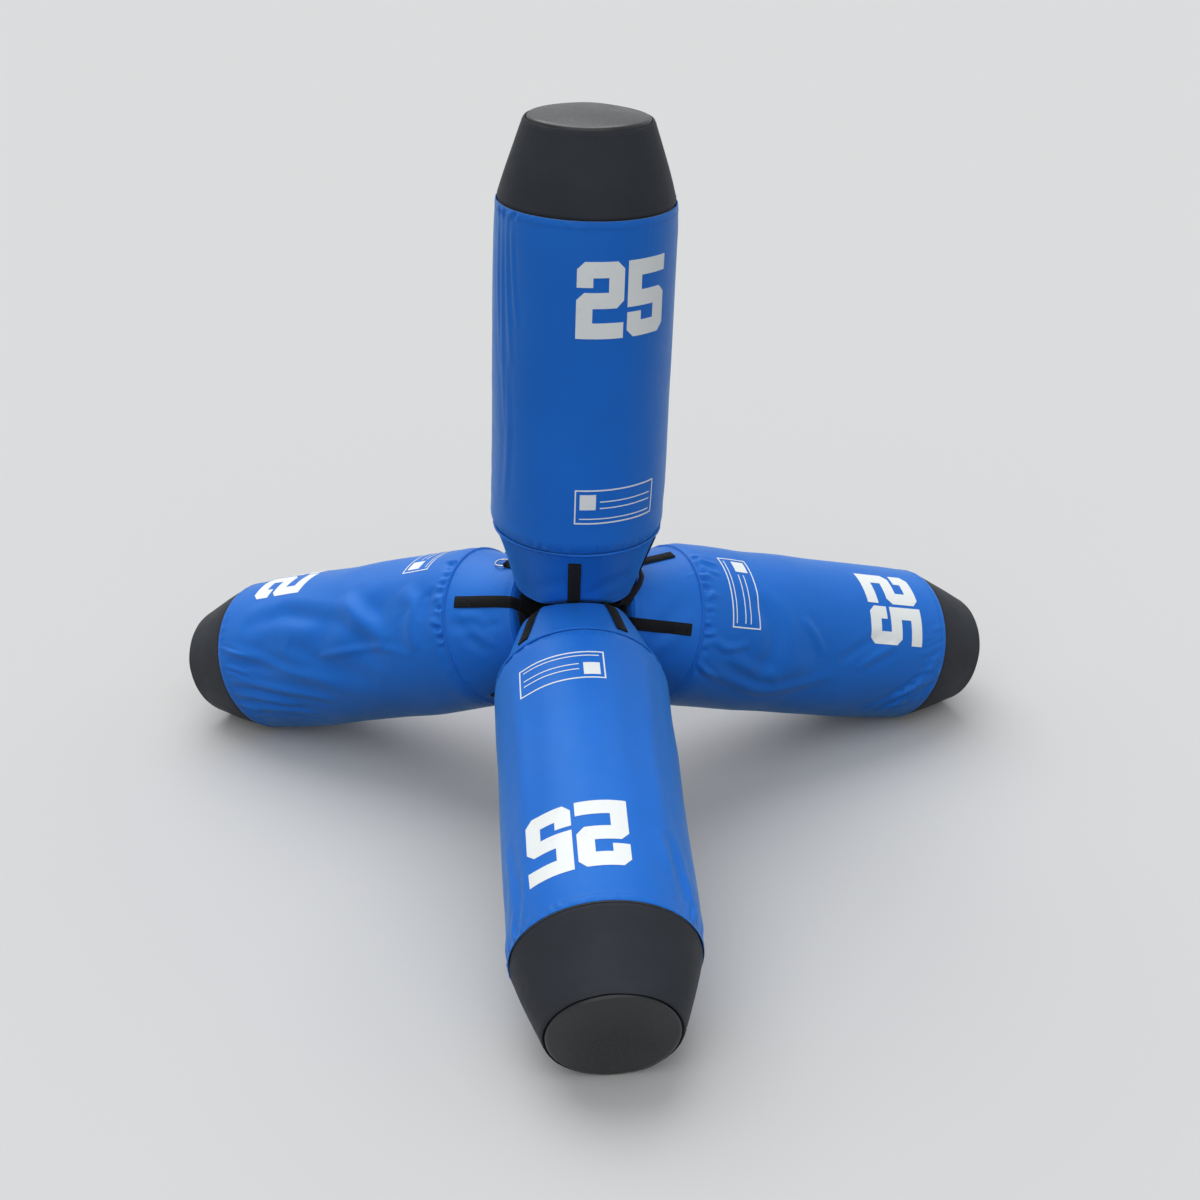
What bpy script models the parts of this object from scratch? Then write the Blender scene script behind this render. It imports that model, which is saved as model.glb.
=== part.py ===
"""Four-armed tackling bag: sewn covers over foam arms, webbing straps that join them, and a D-ring.

Every arm is turned about its own axis, with stations measured from the middle of the hub.
Where arms meet each other or the floor, their soft pieces are pressed flat.
Run with blender --background --python part.py, or from the text editor.
"""
import math

import bmesh
import bpy
from mathutils import Matrix, Vector

# Arm covers
ARM_RADIUS = 0.150
BASE_STATION = 0.060
BASE_RADIUS = 0.102
BASE_CONE_LENGTH = 0.126
BASE_SEAM_RADIUS = 0.144
BASE_SHOULDER_LENGTH = 0.014
SLEEVE_LENGTH = 0.566
TIP_SHOULDER_LENGTH = 0.029
TIP_SEAM_RADIUS = 0.147
TIP_CONE_LENGTH = 0.131
TIP_RADIUS = 0.1038
TIP_CROWN = 0.005
COVER_THICKNESS = 0.0018
PANEL_THICKNESS = 0.0020

# Fits
CLEARANCE = 0.0003
CORE_CLEARANCE = 0.0005
STRAP_CLEARANCE = 0.0008
FLOOR_PRESS = 0.003

# Webbing straps
WEBBING_WIDTH = 0.020
WEBBING_THICKNESS = 0.0020
STRAP_REACH = 0.105
STRAP_INNER_RADIUS = 0.022

# Sewn pad in the middle of the hub
PAD_FACE_DISTANCE = 0.024
PAD_CORNER_DISTANCE = 0.034
PAD_BLANK_SHARE = 8.0

# D-ring and its folded webbing tab
RING_WIRE_RADIUS = 0.0015
RING_SIDE_PLAY = 0.001
RING_LEG_LENGTH = 0.009
RING_CORNER_RADIUS = 0.003
RING_STATION = 0.100
TAB_THICKNESS = 0.0013
TAB_LENGTH = 0.016
TAB_FALL_LENGTH = 0.006

# Directions, in degrees
FRONT_AZIMUTH = 0.0
LEFT_AZIMUTH = -123.0
RIGHT_AZIMUTH = 113.0
TOP_LEAN = 3.8
TOP_LEAN_AZIMUTH = 67.0
RING_ANGLE = -4.8
STRAP_ANGLES = {
    "top": (-4.3, 84.0, 172.0, -110.0),
    "front": (43.5, -32.7, -127.0, 137.0),
    "left": (-49.8, 40.0, 130.0, -140.0),
    "right": (74.1, 4.4, -90.0, 170.0),
}

# Facets and ring places
AROUND = 28
BASE_RING_SHARES = (0.0, 0.2, 0.45, 1.0)
BASE_SHOULDER_SHARES = ((0.4, 0.6),)
TIP_SHOULDER_SHARES = ((0.55, 0.23),)
PANEL_RING_SHARE = 0.5
CROWN_RING_SHARE = 0.75
RING_CORNER_STEPS = 3
RING_ARCH_STEPS = 12
RING_WIRE_STEPS = 2
TAB_WRAP_STEPS = 9
TAB_WRAP_DEGREES = 225.0
SHARP_DEGREES = 40.0

# Stations and heights that follow from the sizes above
BASE_SEAM_STATION = BASE_STATION + BASE_CONE_LENGTH
TIP_SEAM_STATION = BASE_SEAM_STATION + SLEEVE_LENGTH
TIP_STATION = TIP_SEAM_STATION + TIP_CONE_LENGTH
ARM_TILT = math.atan2(TIP_SEAM_RADIUS - TIP_RADIUS, TIP_CONE_LENGTH)
BASE_CONE_SLOPE = math.atan2(BASE_SEAM_RADIUS - BASE_RADIUS, BASE_CONE_LENGTH)
SEAM_DROP = TIP_SEAM_STATION * math.sin(ARM_TILT) + TIP_SEAM_RADIUS * math.cos(ARM_TILT)
HUB_HEIGHT = SEAM_DROP - FLOOR_PRESS
HALF_CLEARANCE = CLEARANCE / 2
STRAP_ROOM = HALF_CLEARANCE + WEBBING_THICKNESS + STRAP_CLEARANCE
PANEL_DEPTH = COVER_THICKNESS + CLEARANCE
CORE_DEPTH = PANEL_DEPTH + PANEL_THICKNESS + CLEARANCE

# Finishes: colour, roughness, metallic
FINISHES = {
    "blue_cloth": ((0.035, 0.125, 0.480, 1.0), 0.55, 0.0),
    "black_vinyl": ((0.022, 0.024, 0.028, 1.0), 0.42, 0.0),
    "black_webbing": ((0.008, 0.008, 0.009, 1.0), 0.80, 0.0),
    "grey_foam": ((0.300, 0.310, 0.320, 1.0), 0.95, 0.0),
    "bright_steel": ((0.560, 0.570, 0.580, 1.0), 0.25, 1.0),
}


# Scene and materials

def clear_scene():
    for old in list(bpy.data.objects):
        bpy.data.objects.remove(old, do_unlink=True)


def finish(node_name, finish_name):
    """Give each sub-part a material of its own."""
    colour, roughness, metallic = FINISHES[finish_name]
    material = bpy.data.materials.new(node_name + "_" + finish_name)
    material.use_nodes = True
    shader = material.node_tree.nodes["Principled BSDF"]
    shader.inputs["Base Color"].default_value = colour
    shader.inputs["Roughness"].default_value = roughness
    shader.inputs["Metallic"].default_value = metallic
    material.diffuse_color = colour
    return material


def add_object(name, data, parent, finish_name):
    piece = bpy.data.objects.new(name, data)
    bpy.context.scene.collection.objects.link(piece)
    piece.parent = parent
    data.materials.append(finish(name, finish_name))
    return piece


def add_solid(name, points, faces, parent, finish_name):
    """Close a list of points and faces into one solid with its faces pointing out."""
    shape = bmesh.new()
    corners = [shape.verts.new(point) for point in points]
    for face in faces:
        shape.faces.new([corners[index] for index in face])
    bmesh.ops.recalc_face_normals(shape, faces=shape.faces)
    mesh = bpy.data.meshes.new(name)
    shape.to_mesh(mesh)
    shape.free()
    mesh.shade_smooth()
    mesh.set_sharp_from_angle(angle=math.radians(SHARP_DEGREES))
    return add_object(name, mesh, parent, finish_name)


# Directions of the arms

def floor_direction(azimuth, fall):
    """A direction that leaves the hub at an azimuth from -Y and falls below the level."""
    turn = math.radians(azimuth)
    level = math.cos(fall)
    return Vector((math.sin(turn) * level, -math.cos(turn) * level, -math.sin(fall)))


def arm_directions():
    lean = math.radians(90.0 - TOP_LEAN)
    return {
        "top": floor_direction(TOP_LEAN_AZIMUTH, -lean),
        "front": floor_direction(FRONT_AZIMUTH, ARM_TILT),
        "left": floor_direction(LEFT_AZIMUTH, ARM_TILT),
        "right": floor_direction(RIGHT_AZIMUTH, ARM_TILT),
    }


def arm_turn(direction, zero_side):
    """Turn an arm's own frame: Z along its axis, X on the side where its angles start."""
    across = (zero_side - zero_side.dot(direction) * direction).normalized()
    return Matrix((across, direction.cross(across), direction)).transposed()


def facet_angle(step):
    """Facets are centred on an arm's zero angle, and so one lies flat on the floor."""
    return math.tau * (step + 0.5) / AROUND


class Arm:
    """An arm's frame, and the planes that its soft pieces are pressed against."""

    def __init__(self, name, directions, hub):
        direction = directions[name]
        upright = name == "top"
        zero_side = Vector((0.0, -1.0, 0.0)) if upright else Vector((0.0, 0.0, 1.0))
        turn = arm_turn(direction, zero_side)
        self.name = name
        self.empty = bpy.data.objects.new(name + "_arm", None)
        bpy.context.scene.collection.objects.link(self.empty)
        self.empty.parent = hub
        self.empty.matrix_local = turn.to_4x4()
        neighbours = [way for other, way in directions.items() if other != name]
        self.meeting = [turn.transposed() @ (direction - way).normalized() for way in neighbours]
        self.floor = (turn.transposed() @ Vector((0.0, 0.0, 1.0)), -HUB_HEIGHT)
        faced = [self.faces_neighbour(facet_angle(step)) for step in range(AROUND + 1)]
        self.presses_less = [after < step for step, after in zip(faced, faced[1:])]

    def faces_neighbour(self, angle):
        """How squarely a side of the arm faces the neighbour that it is pressed against."""
        side = Vector((math.cos(angle), math.sin(angle), 0.0))
        return max(-normal.dot(side) for normal in self.meeting)

    def pressed(self, point, depth, room):
        """Push a point off its neighbours and the floor, to its own depth in the layers."""
        planes = [(normal, room) for normal in self.meeting] + [self.floor]
        for normal, distance in planes:
            short = distance + depth - normal.dot(point)
            if short > 0.0:
                point = point + normal * short
        return point


# Turned soft pieces: covers, panels and cores

def straight(start, end, shares):
    return [(start[0] + (end[0] - start[0]) * share, start[1] + (end[1] - start[1]) * share)
            for share in shares]


def base_cone_line():
    return straight((BASE_STATION, BASE_RADIUS), (BASE_SEAM_STATION, BASE_SEAM_RADIUS),
                    BASE_RING_SHARES)


def sleeve_line():
    """From the base seam over the shoulder, along the arm, to the rounded tip seam."""
    base_rise = ARM_RADIUS - BASE_SEAM_RADIUS
    tip_rise = ARM_RADIUS - TIP_SEAM_RADIUS
    base_shoulder = BASE_SEAM_STATION + BASE_SHOULDER_LENGTH
    tip_shoulder = TIP_SEAM_STATION - TIP_SHOULDER_LENGTH
    line = [(BASE_SEAM_STATION, BASE_SEAM_RADIUS)]
    line += [(BASE_SEAM_STATION + BASE_SHOULDER_LENGTH * along, BASE_SEAM_RADIUS + base_rise * up)
             for along, up in BASE_SHOULDER_SHARES]
    line += [(base_shoulder, ARM_RADIUS), (tip_shoulder, ARM_RADIUS)]
    line += [(tip_shoulder + TIP_SHOULDER_LENGTH * along, ARM_RADIUS - tip_rise * down)
             for along, down in TIP_SHOULDER_SHARES]
    line += [(TIP_SEAM_STATION, TIP_SEAM_RADIUS)]
    return line


def tip_cone_line():
    return [(TIP_SEAM_STATION, TIP_SEAM_RADIUS), (TIP_STATION, TIP_RADIUS)]


def shell(line, thickness, start_gap=0.0, end_gap=0.0):
    """A closed wall profile of (station, radius, depth) with its inner side thickness deep."""
    outer = [(station, radius, 0.0) for station, radius in line]
    outer[0] = (outer[0][0] + start_gap, outer[0][1], 0.0)
    outer[-1] = (outer[-1][0] - end_gap, outer[-1][1], 0.0)
    inner = [(station, radius - thickness, thickness) for station, radius, _ in reversed(outer)]
    return outer + inner


def panel(station, radius, inward, crown):
    """A round end panel, crowned away from the arm, from its outer pole to its inner pole."""
    ring = radius * PANEL_RING_SHARE
    rim = station, radius
    middle = station - inward * crown
    crown_ring = station - inward * crown * CROWN_RING_SHARE
    back = inward * PANEL_THICKNESS
    inner_depth = PANEL_DEPTH + PANEL_THICKNESS
    return [
        (middle, 0.0, PANEL_DEPTH),
        (crown_ring, ring, PANEL_DEPTH),
        (rim[0], rim[1], PANEL_DEPTH),
        (rim[0] + back, rim[1], inner_depth),
        (crown_ring + back, ring, inner_depth),
        (middle + back, 0.0, inner_depth),
    ]


def base_panel_radius():
    return BASE_RADIUS - PANEL_DEPTH


def tip_panel_radius():
    """The tip cone narrows, so its panel fits the narrow end of its inner wall."""
    return TIP_RADIUS - PANEL_DEPTH


def core_profile():
    """The foam fills the covers, from pole to pole."""
    inset = COVER_THICKNESS + CORE_CLEARANCE
    behind = PANEL_THICKNESS + CLEARANCE
    line = base_cone_line() + sleeve_line()[1:] + tip_cone_line()[1:]
    side = [(station, radius - inset) for station, radius in line]
    start = BASE_STATION + behind
    end = TIP_STATION - behind
    base_ring = base_panel_radius() * PANEL_RING_SHARE
    tip_ring = tip_panel_radius() * PANEL_RING_SHARE
    base_rim = side[0][1] + behind * math.tan(BASE_CONE_SLOPE)
    tip_rim = side[-1][1]
    profile = [(start, 0.0), (start, base_ring), (start, base_rim)] + side[1:-1]
    profile += [(end, tip_rim), (end + TIP_CROWN * CROWN_RING_SHARE, tip_ring)]
    profile += [(end + TIP_CROWN, 0.0)]
    return [(station, radius, CORE_DEPTH) for station, radius in profile]


def turned_point(arm, station, radius, depth, step):
    angle = facet_angle(step)
    point = Vector((radius * math.cos(angle), radius * math.sin(angle), station))
    return arm.pressed(point, depth, STRAP_ROOM)


def ring_faces(arm, low, high):
    """Two triangles a facet, split so that every layer dips alike where the arm is pressed."""
    faces = []
    for step in range(AROUND):
        after = (step + 1) % AROUND
        if arm.presses_less[step]:
            faces.append((low[step], low[after], high[after]))
            faces.append((low[step], high[after], high[step]))
        else:
            faces.append((low[step], low[after], high[step]))
            faces.append((low[after], high[after], high[step]))
    return faces


def nearness(place):
    """Order rings from the rim at the hub outward, the side that is pressed the most."""
    station, radius, _ = place
    return station, -radius


def turned(name, arm, profile, finish_name):
    """Turn a profile of (station, radius, depth): closed, or from pole to pole."""
    points = []
    rings = []
    for station, radius, depth in profile:
        steps = AROUND if radius > 0.0 else 1
        rings.append([len(points) + step for step in range(steps)])
        points += [turned_point(arm, station, radius, depth, step) for step in range(steps)]
    faces = []
    open_ended = profile[0][1] == 0.0
    pairs = list(zip(range(len(rings)), range(1, len(rings))))
    if not open_ended:
        pairs.append((len(rings) - 1, 0))
    for first, second in pairs:
        if len(rings[first]) == 1 or len(rings[second]) == 1:
            pole, rim = sorted((rings[first], rings[second]), key=len)
            faces += [(pole[0], rim[step], rim[(step + 1) % AROUND]) for step in range(AROUND)]
        elif nearness(profile[first]) <= nearness(profile[second]):
            faces += ring_faces(arm, rings[first], rings[second])
        else:
            faces += ring_faces(arm, rings[second], rings[first])
    return add_solid(name, points, faces, arm.empty, finish_name)


def add_arm_body(arm):
    name = arm.name
    sleeve = shell(sleeve_line(), COVER_THICKNESS, HALF_CLEARANCE, HALF_CLEARANCE)
    base_cone = shell(base_cone_line(), COVER_THICKNESS, 0.0, HALF_CLEARANCE)
    tip_cone = shell(tip_cone_line(), COVER_THICKNESS, HALF_CLEARANCE, 0.0)
    base_panel = panel(BASE_STATION, base_panel_radius(), 1.0, 0.0)
    tip_panel = panel(TIP_STATION, tip_panel_radius(), -1.0, TIP_CROWN)
    turned(name + "_foam_core", arm, core_profile(), "grey_foam")
    turned(name + "_sleeve", arm, sleeve, "blue_cloth")
    turned(name + "_base_cone", arm, base_cone, "blue_cloth")
    turned(name + "_base_panel", arm, base_panel, "black_vinyl")
    turned(name + "_tip_cone", arm, tip_cone, "black_vinyl")
    turned(name + "_tip_panel", arm, tip_panel, "black_vinyl")


# Webbing

def offset_path(path, distance):
    """Move a path to its right by a distance, with mitred corners."""
    directions = [(Vector(end) - Vector(start)).normalized()
                  for start, end in zip(path, path[1:])]
    moved = []
    for index, point in enumerate(path):
        before = directions[max(index - 1, 0)]
        after = directions[min(index, len(directions) - 1)]
        right_before = Vector((before.y, -before.x))
        right_after = Vector((after.y, -after.x))
        mitre = (right_before + right_after).normalized()
        moved.append(Vector(point) + mitre * (distance / mitre.dot(right_before)))
    return moved


def strap_path():
    """From the sewn end down the base cone, over the rim and across the panel."""
    sewn_end = BASE_STATION + STRAP_REACH
    slope = math.tan(BASE_CONE_SLOPE)
    path = [(sewn_end, BASE_RADIUS + STRAP_REACH * slope)]
    path += [place for place in reversed(base_cone_line()) if place[0] < sewn_end]
    path += [(BASE_STATION, base_panel_radius() * PANEL_RING_SHARE)]
    return path


def strap_section(arm, angle, place, side, depth, wraps):
    """A point on a strap: side is -1, 0 or 1 across its width."""
    station, radius = place
    across = side * WEBBING_WIDTH / 2
    if wraps:
        swing = angle + across / radius
        point = Vector((radius * math.cos(swing), radius * math.sin(swing), station))
    else:
        outward = Vector((math.cos(angle), math.sin(angle), 0.0))
        sideways = Vector((-math.sin(angle), math.cos(angle), 0.0))
        point = outward * radius + sideways * across + Vector((0.0, 0.0, station))
    return arm.pressed(point, depth, HALF_CLEARANCE)


def add_strap(arm, number, degrees):
    """A flat strap, sewn to the base cone at one end and to the hub pad at the other."""
    angle = math.radians(degrees)
    lower = offset_path(strap_path(), STRAP_CLEARANCE)
    upper = offset_path(strap_path(), STRAP_CLEARANCE + WEBBING_THICKNESS)
    pad_station = PAD_FACE_DISTANCE + CLEARANCE
    lower.append(Vector((pad_station, STRAP_INNER_RADIUS)))
    upper.append(Vector((pad_station, STRAP_INNER_RADIUS + WEBBING_THICKNESS)))
    wrapped = len(lower) - 2
    points = []
    for index, (under, over) in enumerate(zip(lower, upper)):
        wraps = index < wrapped
        for side in (-1, 0, 1):
            points.append(strap_section(arm, angle, under, side, WEBBING_THICKNESS, wraps))
        for side in (1, 0, -1):
            points.append(strap_section(arm, angle, over, side, 0.0, wraps))
    faces = split_outward(points, tube_faces(len(lower), 6))
    add_solid(arm.name + "_strap_" + str(number), points, faces, arm.empty, "black_webbing")


def split_outward(points, faces):
    """Split every facet along the diagonal that stands further off the arm under it."""
    inside = Vector((0.0, 0.0, BASE_SEAM_STATION))
    halves = []
    for first, second, third, fourth in faces:
        one = (points[first] + points[third]) / 2 - inside
        other = (points[second] + points[fourth]) / 2 - inside
        if one.length > other.length:
            halves += [(first, second, third), (first, third, fourth)]
        else:
            halves += [(first, second, fourth), (second, third, fourth)]
    return halves


def tube_faces(stations, sides):
    """Join like sections into a tube and cap its two ends."""
    faces = []
    for station in range(stations - 1):
        for side in range(sides):
            first = station * sides + side
            second = station * sides + (side + 1) % sides
            faces.append((first, second, second + sides, first + sides))
    for start in (0, (stations - 1) * sides):
        half = sides // 2
        for side in range(half - 1):
            left = start + side
            right = start + sides - 1 - side
            faces.append((left, left + 1, right - 1, right))
    return faces


def add_hub_pad(directions, hub):
    """A block of stacked webbing with a face square to every arm and its corners cut off."""
    shape = bmesh.new()
    bmesh.ops.create_cube(shape, size=PAD_CORNER_DISTANCE * PAD_BLANK_SHARE)
    cuts = [(way, PAD_FACE_DISTANCE) for way in directions.values()]
    cuts += [(-way, PAD_CORNER_DISTANCE) for way in directions.values()]
    for way, distance in cuts:
        everything = shape.verts[:] + shape.edges[:] + shape.faces[:]
        cut = bmesh.ops.bisect_plane(shape, geom=everything, plane_co=way * distance,
                                     plane_no=way, clear_outer=True)
        open_edges = [item for item in cut["geom_cut"] if isinstance(item, bmesh.types.BMEdge)]
        bmesh.ops.contextual_create(shape, geom=open_edges)
    bmesh.ops.recalc_face_normals(shape, faces=shape.faces)
    mesh = bpy.data.meshes.new("hub_pad")
    shape.to_mesh(mesh)
    shape.free()
    add_object("hub_pad", mesh, hub, "black_webbing")


# D-ring

def ring_seat():
    """The bar's middle and the frame there: X along the bar, Y to the tip, Z off the cone."""
    angle = math.radians(RING_ANGLE)
    outward = Vector((math.cos(angle), math.sin(angle), 0.0))
    along = Vector((0.0, 0.0, 1.0))
    toward_tip = along * math.cos(BASE_CONE_SLOPE) + outward * math.sin(BASE_CONE_SLOPE)
    off_cone = outward * math.cos(BASE_CONE_SLOPE) - along * math.sin(BASE_CONE_SLOPE)
    bar_way = toward_tip.cross(off_cone)
    radius = BASE_RADIUS + (RING_STATION - BASE_STATION) * math.tan(BASE_CONE_SLOPE)
    middle = outward * radius + along * RING_STATION + off_cone * bar_height()
    frame = Matrix((bar_way, toward_tip, off_cone)).transposed().to_4x4()
    return Matrix.Translation(middle) @ frame


def bar_height():
    return CLEARANCE + TAB_THICKNESS + CLEARANCE + RING_WIRE_RADIUS


def ring_half_width():
    return WEBBING_WIDTH / 2 + RING_SIDE_PLAY + RING_WIRE_RADIUS


def arc(middle, radius, start, end, steps):
    turns = [start + (end - start) * step / steps for step in range(steps + 1)]
    return [(middle[0] + radius * math.cos(turn), middle[1] + radius * math.sin(turn))
            for turn in turns]


def ring_path():
    """The wire's centre line: a straight bar, two legs and a half-round arch."""
    half = ring_half_width()
    corner = RING_CORNER_RADIUS
    steps = RING_CORNER_STEPS
    left_corner = arc((-half + corner, corner), corner, -math.pi, -math.pi / 2, steps)
    right_corner = arc((half - corner, corner), corner, -math.pi / 2, 0.0, steps)
    arch = arc((0.0, RING_LEG_LENGTH), half, 0.0, math.pi, RING_ARCH_STEPS)
    return left_corner + right_corner + arch


def add_ring(arm):
    """The ring's origin is on its bar, so it swings about its own X axis."""
    curve = bpy.data.curves.new("d_ring", "CURVE")
    curve.dimensions = "3D"
    curve.bevel_depth = RING_WIRE_RADIUS
    curve.bevel_resolution = RING_WIRE_STEPS
    path = ring_path()
    spline = curve.splines.new("POLY")
    spline.points.add(len(path) - 1)
    for point, (across, along) in zip(spline.points, path):
        point.co = (across, along, 0.0, 1.0)
    spline.use_cyclic_u = True
    reach = RING_LEG_LENGTH + ring_half_width()
    settle = math.asin((bar_height() - RING_WIRE_RADIUS - CLEARANCE) / reach)
    ring = add_object("d_ring", curve, arm.empty, "bright_steel")
    ring.matrix_local = ring_seat() @ Matrix.Rotation(-settle, 4, "X")


def add_ring_tab(arm):
    """One length of webbing that passes under the bar, wraps it and lies back on itself."""
    hole = RING_WIRE_RADIUS + CLEARANCE
    lift = CLEARANCE
    wrap = arc((0.0, 0.0), hole, -math.pi / 2, math.radians(TAB_WRAP_DEGREES - 90.0),
               TAB_WRAP_STEPS)
    path = [(-TAB_LENGTH, -hole)] + wrap
    path += [(-TAB_FALL_LENGTH, -hole + lift), (-TAB_LENGTH, -hole + lift)]
    inner = [Vector(place) for place in path]
    outer = offset_path(path, TAB_THICKNESS)
    half = WEBBING_WIDTH / 2
    points = []
    for under, over in zip(inner, outer):
        points += [(-half, under.x, under.y), (half, under.x, under.y)]
        points += [(half, over.x, over.y), (-half, over.x, over.y)]
    tab = add_solid("d_ring_tab", points, tube_faces(len(path), 4), arm.empty, "black_webbing")
    tab.matrix_local = ring_seat()


# Assembly

def stand_on_floor(hub):
    """Move the hub so that the whole object stands on the floor with its middle at the origin."""
    bpy.context.view_layer.update()
    corners = [piece.matrix_world @ vertex.co for piece in bpy.data.objects
               if piece.type == "MESH" for vertex in piece.data.vertices]
    low_x = min(corner.x for corner in corners)
    high_x = max(corner.x for corner in corners)
    low_y = min(corner.y for corner in corners)
    high_y = max(corner.y for corner in corners)
    hub.location = (-(low_x + high_x) / 2, -(low_y + high_y) / 2, HUB_HEIGHT)
    bpy.context.view_layer.update()


def build():
    clear_scene()
    directions = arm_directions()
    hub = bpy.data.objects.new("hub", None)
    bpy.context.scene.collection.objects.link(hub)
    for name in directions:
        arm = Arm(name, directions, hub)
        add_arm_body(arm)
        for number, degrees in enumerate(STRAP_ANGLES[name], start=1):
            add_strap(arm, number, degrees)
        if name == "left":
            add_ring(arm)
            add_ring_tab(arm)
    add_hub_pad(directions, hub)
    stand_on_floor(hub)


build()
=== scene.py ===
"""Dresses the frame of a four-armed tackling bag in sewn covers, webbing, a steel ring and print.

Every arm has its own frame: Z runs out along its axis from the hub, and its angles start on its
zero side. A place on an arm is a station, its distance along the axis, and an angle.
Run with blender --background --python scene.py.
"""
import math

import bmesh
import bpy
import numpy as np
from bpy.props import FloatProperty, FloatVectorProperty, IntProperty, PointerProperty
from mathutils import Matrix, Vector


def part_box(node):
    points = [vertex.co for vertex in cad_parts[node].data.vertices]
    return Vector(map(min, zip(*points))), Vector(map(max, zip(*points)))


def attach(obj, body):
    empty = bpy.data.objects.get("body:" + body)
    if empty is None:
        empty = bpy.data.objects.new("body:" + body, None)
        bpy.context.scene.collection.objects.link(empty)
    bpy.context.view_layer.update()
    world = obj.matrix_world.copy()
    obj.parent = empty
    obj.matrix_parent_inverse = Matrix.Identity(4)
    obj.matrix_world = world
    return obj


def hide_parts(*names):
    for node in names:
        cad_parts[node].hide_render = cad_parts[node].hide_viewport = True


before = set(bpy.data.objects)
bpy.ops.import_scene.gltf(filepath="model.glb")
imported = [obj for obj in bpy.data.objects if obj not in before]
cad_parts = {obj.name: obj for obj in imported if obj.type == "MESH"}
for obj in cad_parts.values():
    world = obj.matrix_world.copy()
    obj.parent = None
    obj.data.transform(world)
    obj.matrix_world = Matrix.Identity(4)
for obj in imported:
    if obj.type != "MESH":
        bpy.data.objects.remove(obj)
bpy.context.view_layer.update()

bl_info = {
    "name": "Tackling bag",
    "version": (1, 0, 0),
    "blender": (4, 5, 0),
    "location": "3D View > Sidebar > Tackling bag",
    "description": "Covers, webbing, ring and print of a four-armed tackling bag",
    "category": "Object",
}

# Arm covers, as the frame has them
ARM_RADIUS = 0.150
BASE_STATION = 0.060
BASE_RADIUS = 0.102
BASE_CONE_LENGTH = 0.126
BASE_SEAM_RADIUS = 0.144
SLEEVE_LENGTH = 0.566
TIP_SEAM_RADIUS = 0.147
TIP_CONE_LENGTH = 0.131
TIP_RADIUS = 0.1038
FLOOR_PRESS = 0.003
FACETS_AROUND = 28

# Webbing and ring, as the frame has them, with straps by their number on the arm
WEBBING_WIDTH = 0.020
WEBBING_THICKNESS = 0.0020
STRAP_REACH = 0.105
STRAP_INNER_RADIUS = 0.022
PAD_FACE_DISTANCE = 0.024
RING_WIRE_RADIUS = 0.0015
RING_SIDE_PLAY = 0.001
RING_LEG_LENGTH = 0.009
RING_CORNER_RADIUS = 0.003
RING_STATION = 0.100
RING_ANGLE = -4.8
TAB_THICKNESS = 0.0013
TAB_LENGTH = 0.016
TAB_FALL_LENGTH = 0.006
TAB_WRAP_DEGREES = 225.0
CLEARANCE = 0.0003
STRAP_CLEARANCE = 0.0008

# Directions, in degrees
AZIMUTHS = {"front": 0.0, "left": -123.0, "right": 113.0}
TOP_LEAN = 3.8
TOP_LEAN_AZIMUTH = 67.0
STRAP_ANGLES = {
    "top": (-4.3, 84.0, 172.0, -110.0),
    "front": (43.5, -32.7, -127.0, 137.0),
    "left": (-49.8, 40.0, 130.0, -140.0),
    "right": (74.1, 4.4, -90.0, 170.0),
}

# How deep and how far along a strap pulls the rim in, where it isn't as on the others
STRAP_PULL = (0.0045, 0.016)
STRAP_PULLS = {("right", 2): (0.0080, 0.030)}

# A strap that hangs loose past the rim: degrees, radius, station, and the way that it faces
LOOSE_STRAPS = {
    ("top", 2): ((83.0, 0.1165, 0.0930, 80.0), (80.0, 0.1190, 0.0810, 62.0),
                 (72.0, 0.1095, 0.0620, 40.0), (64.0, 0.1010, 0.0490, 26.0),
                 (60.0, 0.0880, 0.0400, 26.0)),
}

RING_HALF_WIDTH = WEBBING_WIDTH / 2 + RING_SIDE_PLAY + RING_WIRE_RADIUS
RING_WIRE_SIDES = 20
BAR_HEIGHT = CLEARANCE + TAB_THICKNESS + CLEARANCE + RING_WIRE_RADIUS

# Straps are drawn a tenth wider than in the frame. A loose one is sewn down to this far above
# its first loose place, and every other one bends toward the pad at this radius
STRAP_WIDTH = WEBBING_WIDTH * 1.10
LOOSE_START = 0.006
STRAP_TURN_RADIUS = 0.046
RIB_WIDTH_SHARE = 0.955

# What follows from the sizes above
BASE_SEAM_STATION = BASE_STATION + BASE_CONE_LENGTH
TIP_SEAM_STATION = BASE_SEAM_STATION + SLEEVE_LENGTH
TIP_STATION = TIP_SEAM_STATION + TIP_CONE_LENGTH
BASE_SEAM = (BASE_SEAM_STATION, 1)
TIP_SEAM = (TIP_SEAM_STATION, -1)
ARM_TILT = math.atan2(TIP_SEAM_RADIUS - TIP_RADIUS, TIP_CONE_LENGTH)
BASE_CONE_SLOPE = math.atan2(BASE_SEAM_RADIUS - BASE_RADIUS, BASE_CONE_LENGTH)
SEAM_DROP = TIP_SEAM_STATION * math.sin(ARM_TILT) + TIP_SEAM_RADIUS * math.cos(ARM_TILT)
HUB_HEIGHT = SEAM_DROP - FLOOR_PRESS
HALF_CLEARANCE = CLEARANCE / 2
STRAP_ROOM = HALF_CLEARANCE + WEBBING_THICKNESS + STRAP_CLEARANCE

# Roundings of the sewn covers
RIM_ROUND = 0.010
RIM_TURN_IN = 0.020
PIPING_RISE = 0.006
TIP_RIM_ROUND = 0.0016
TIP_DOME = 0.0095
SEAM_ROUND = 0.0025
SEAM_SINK = 0.0010
MEETING_ROUND = 0.0010
FLOOR_ROUND = 0.0004

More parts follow.
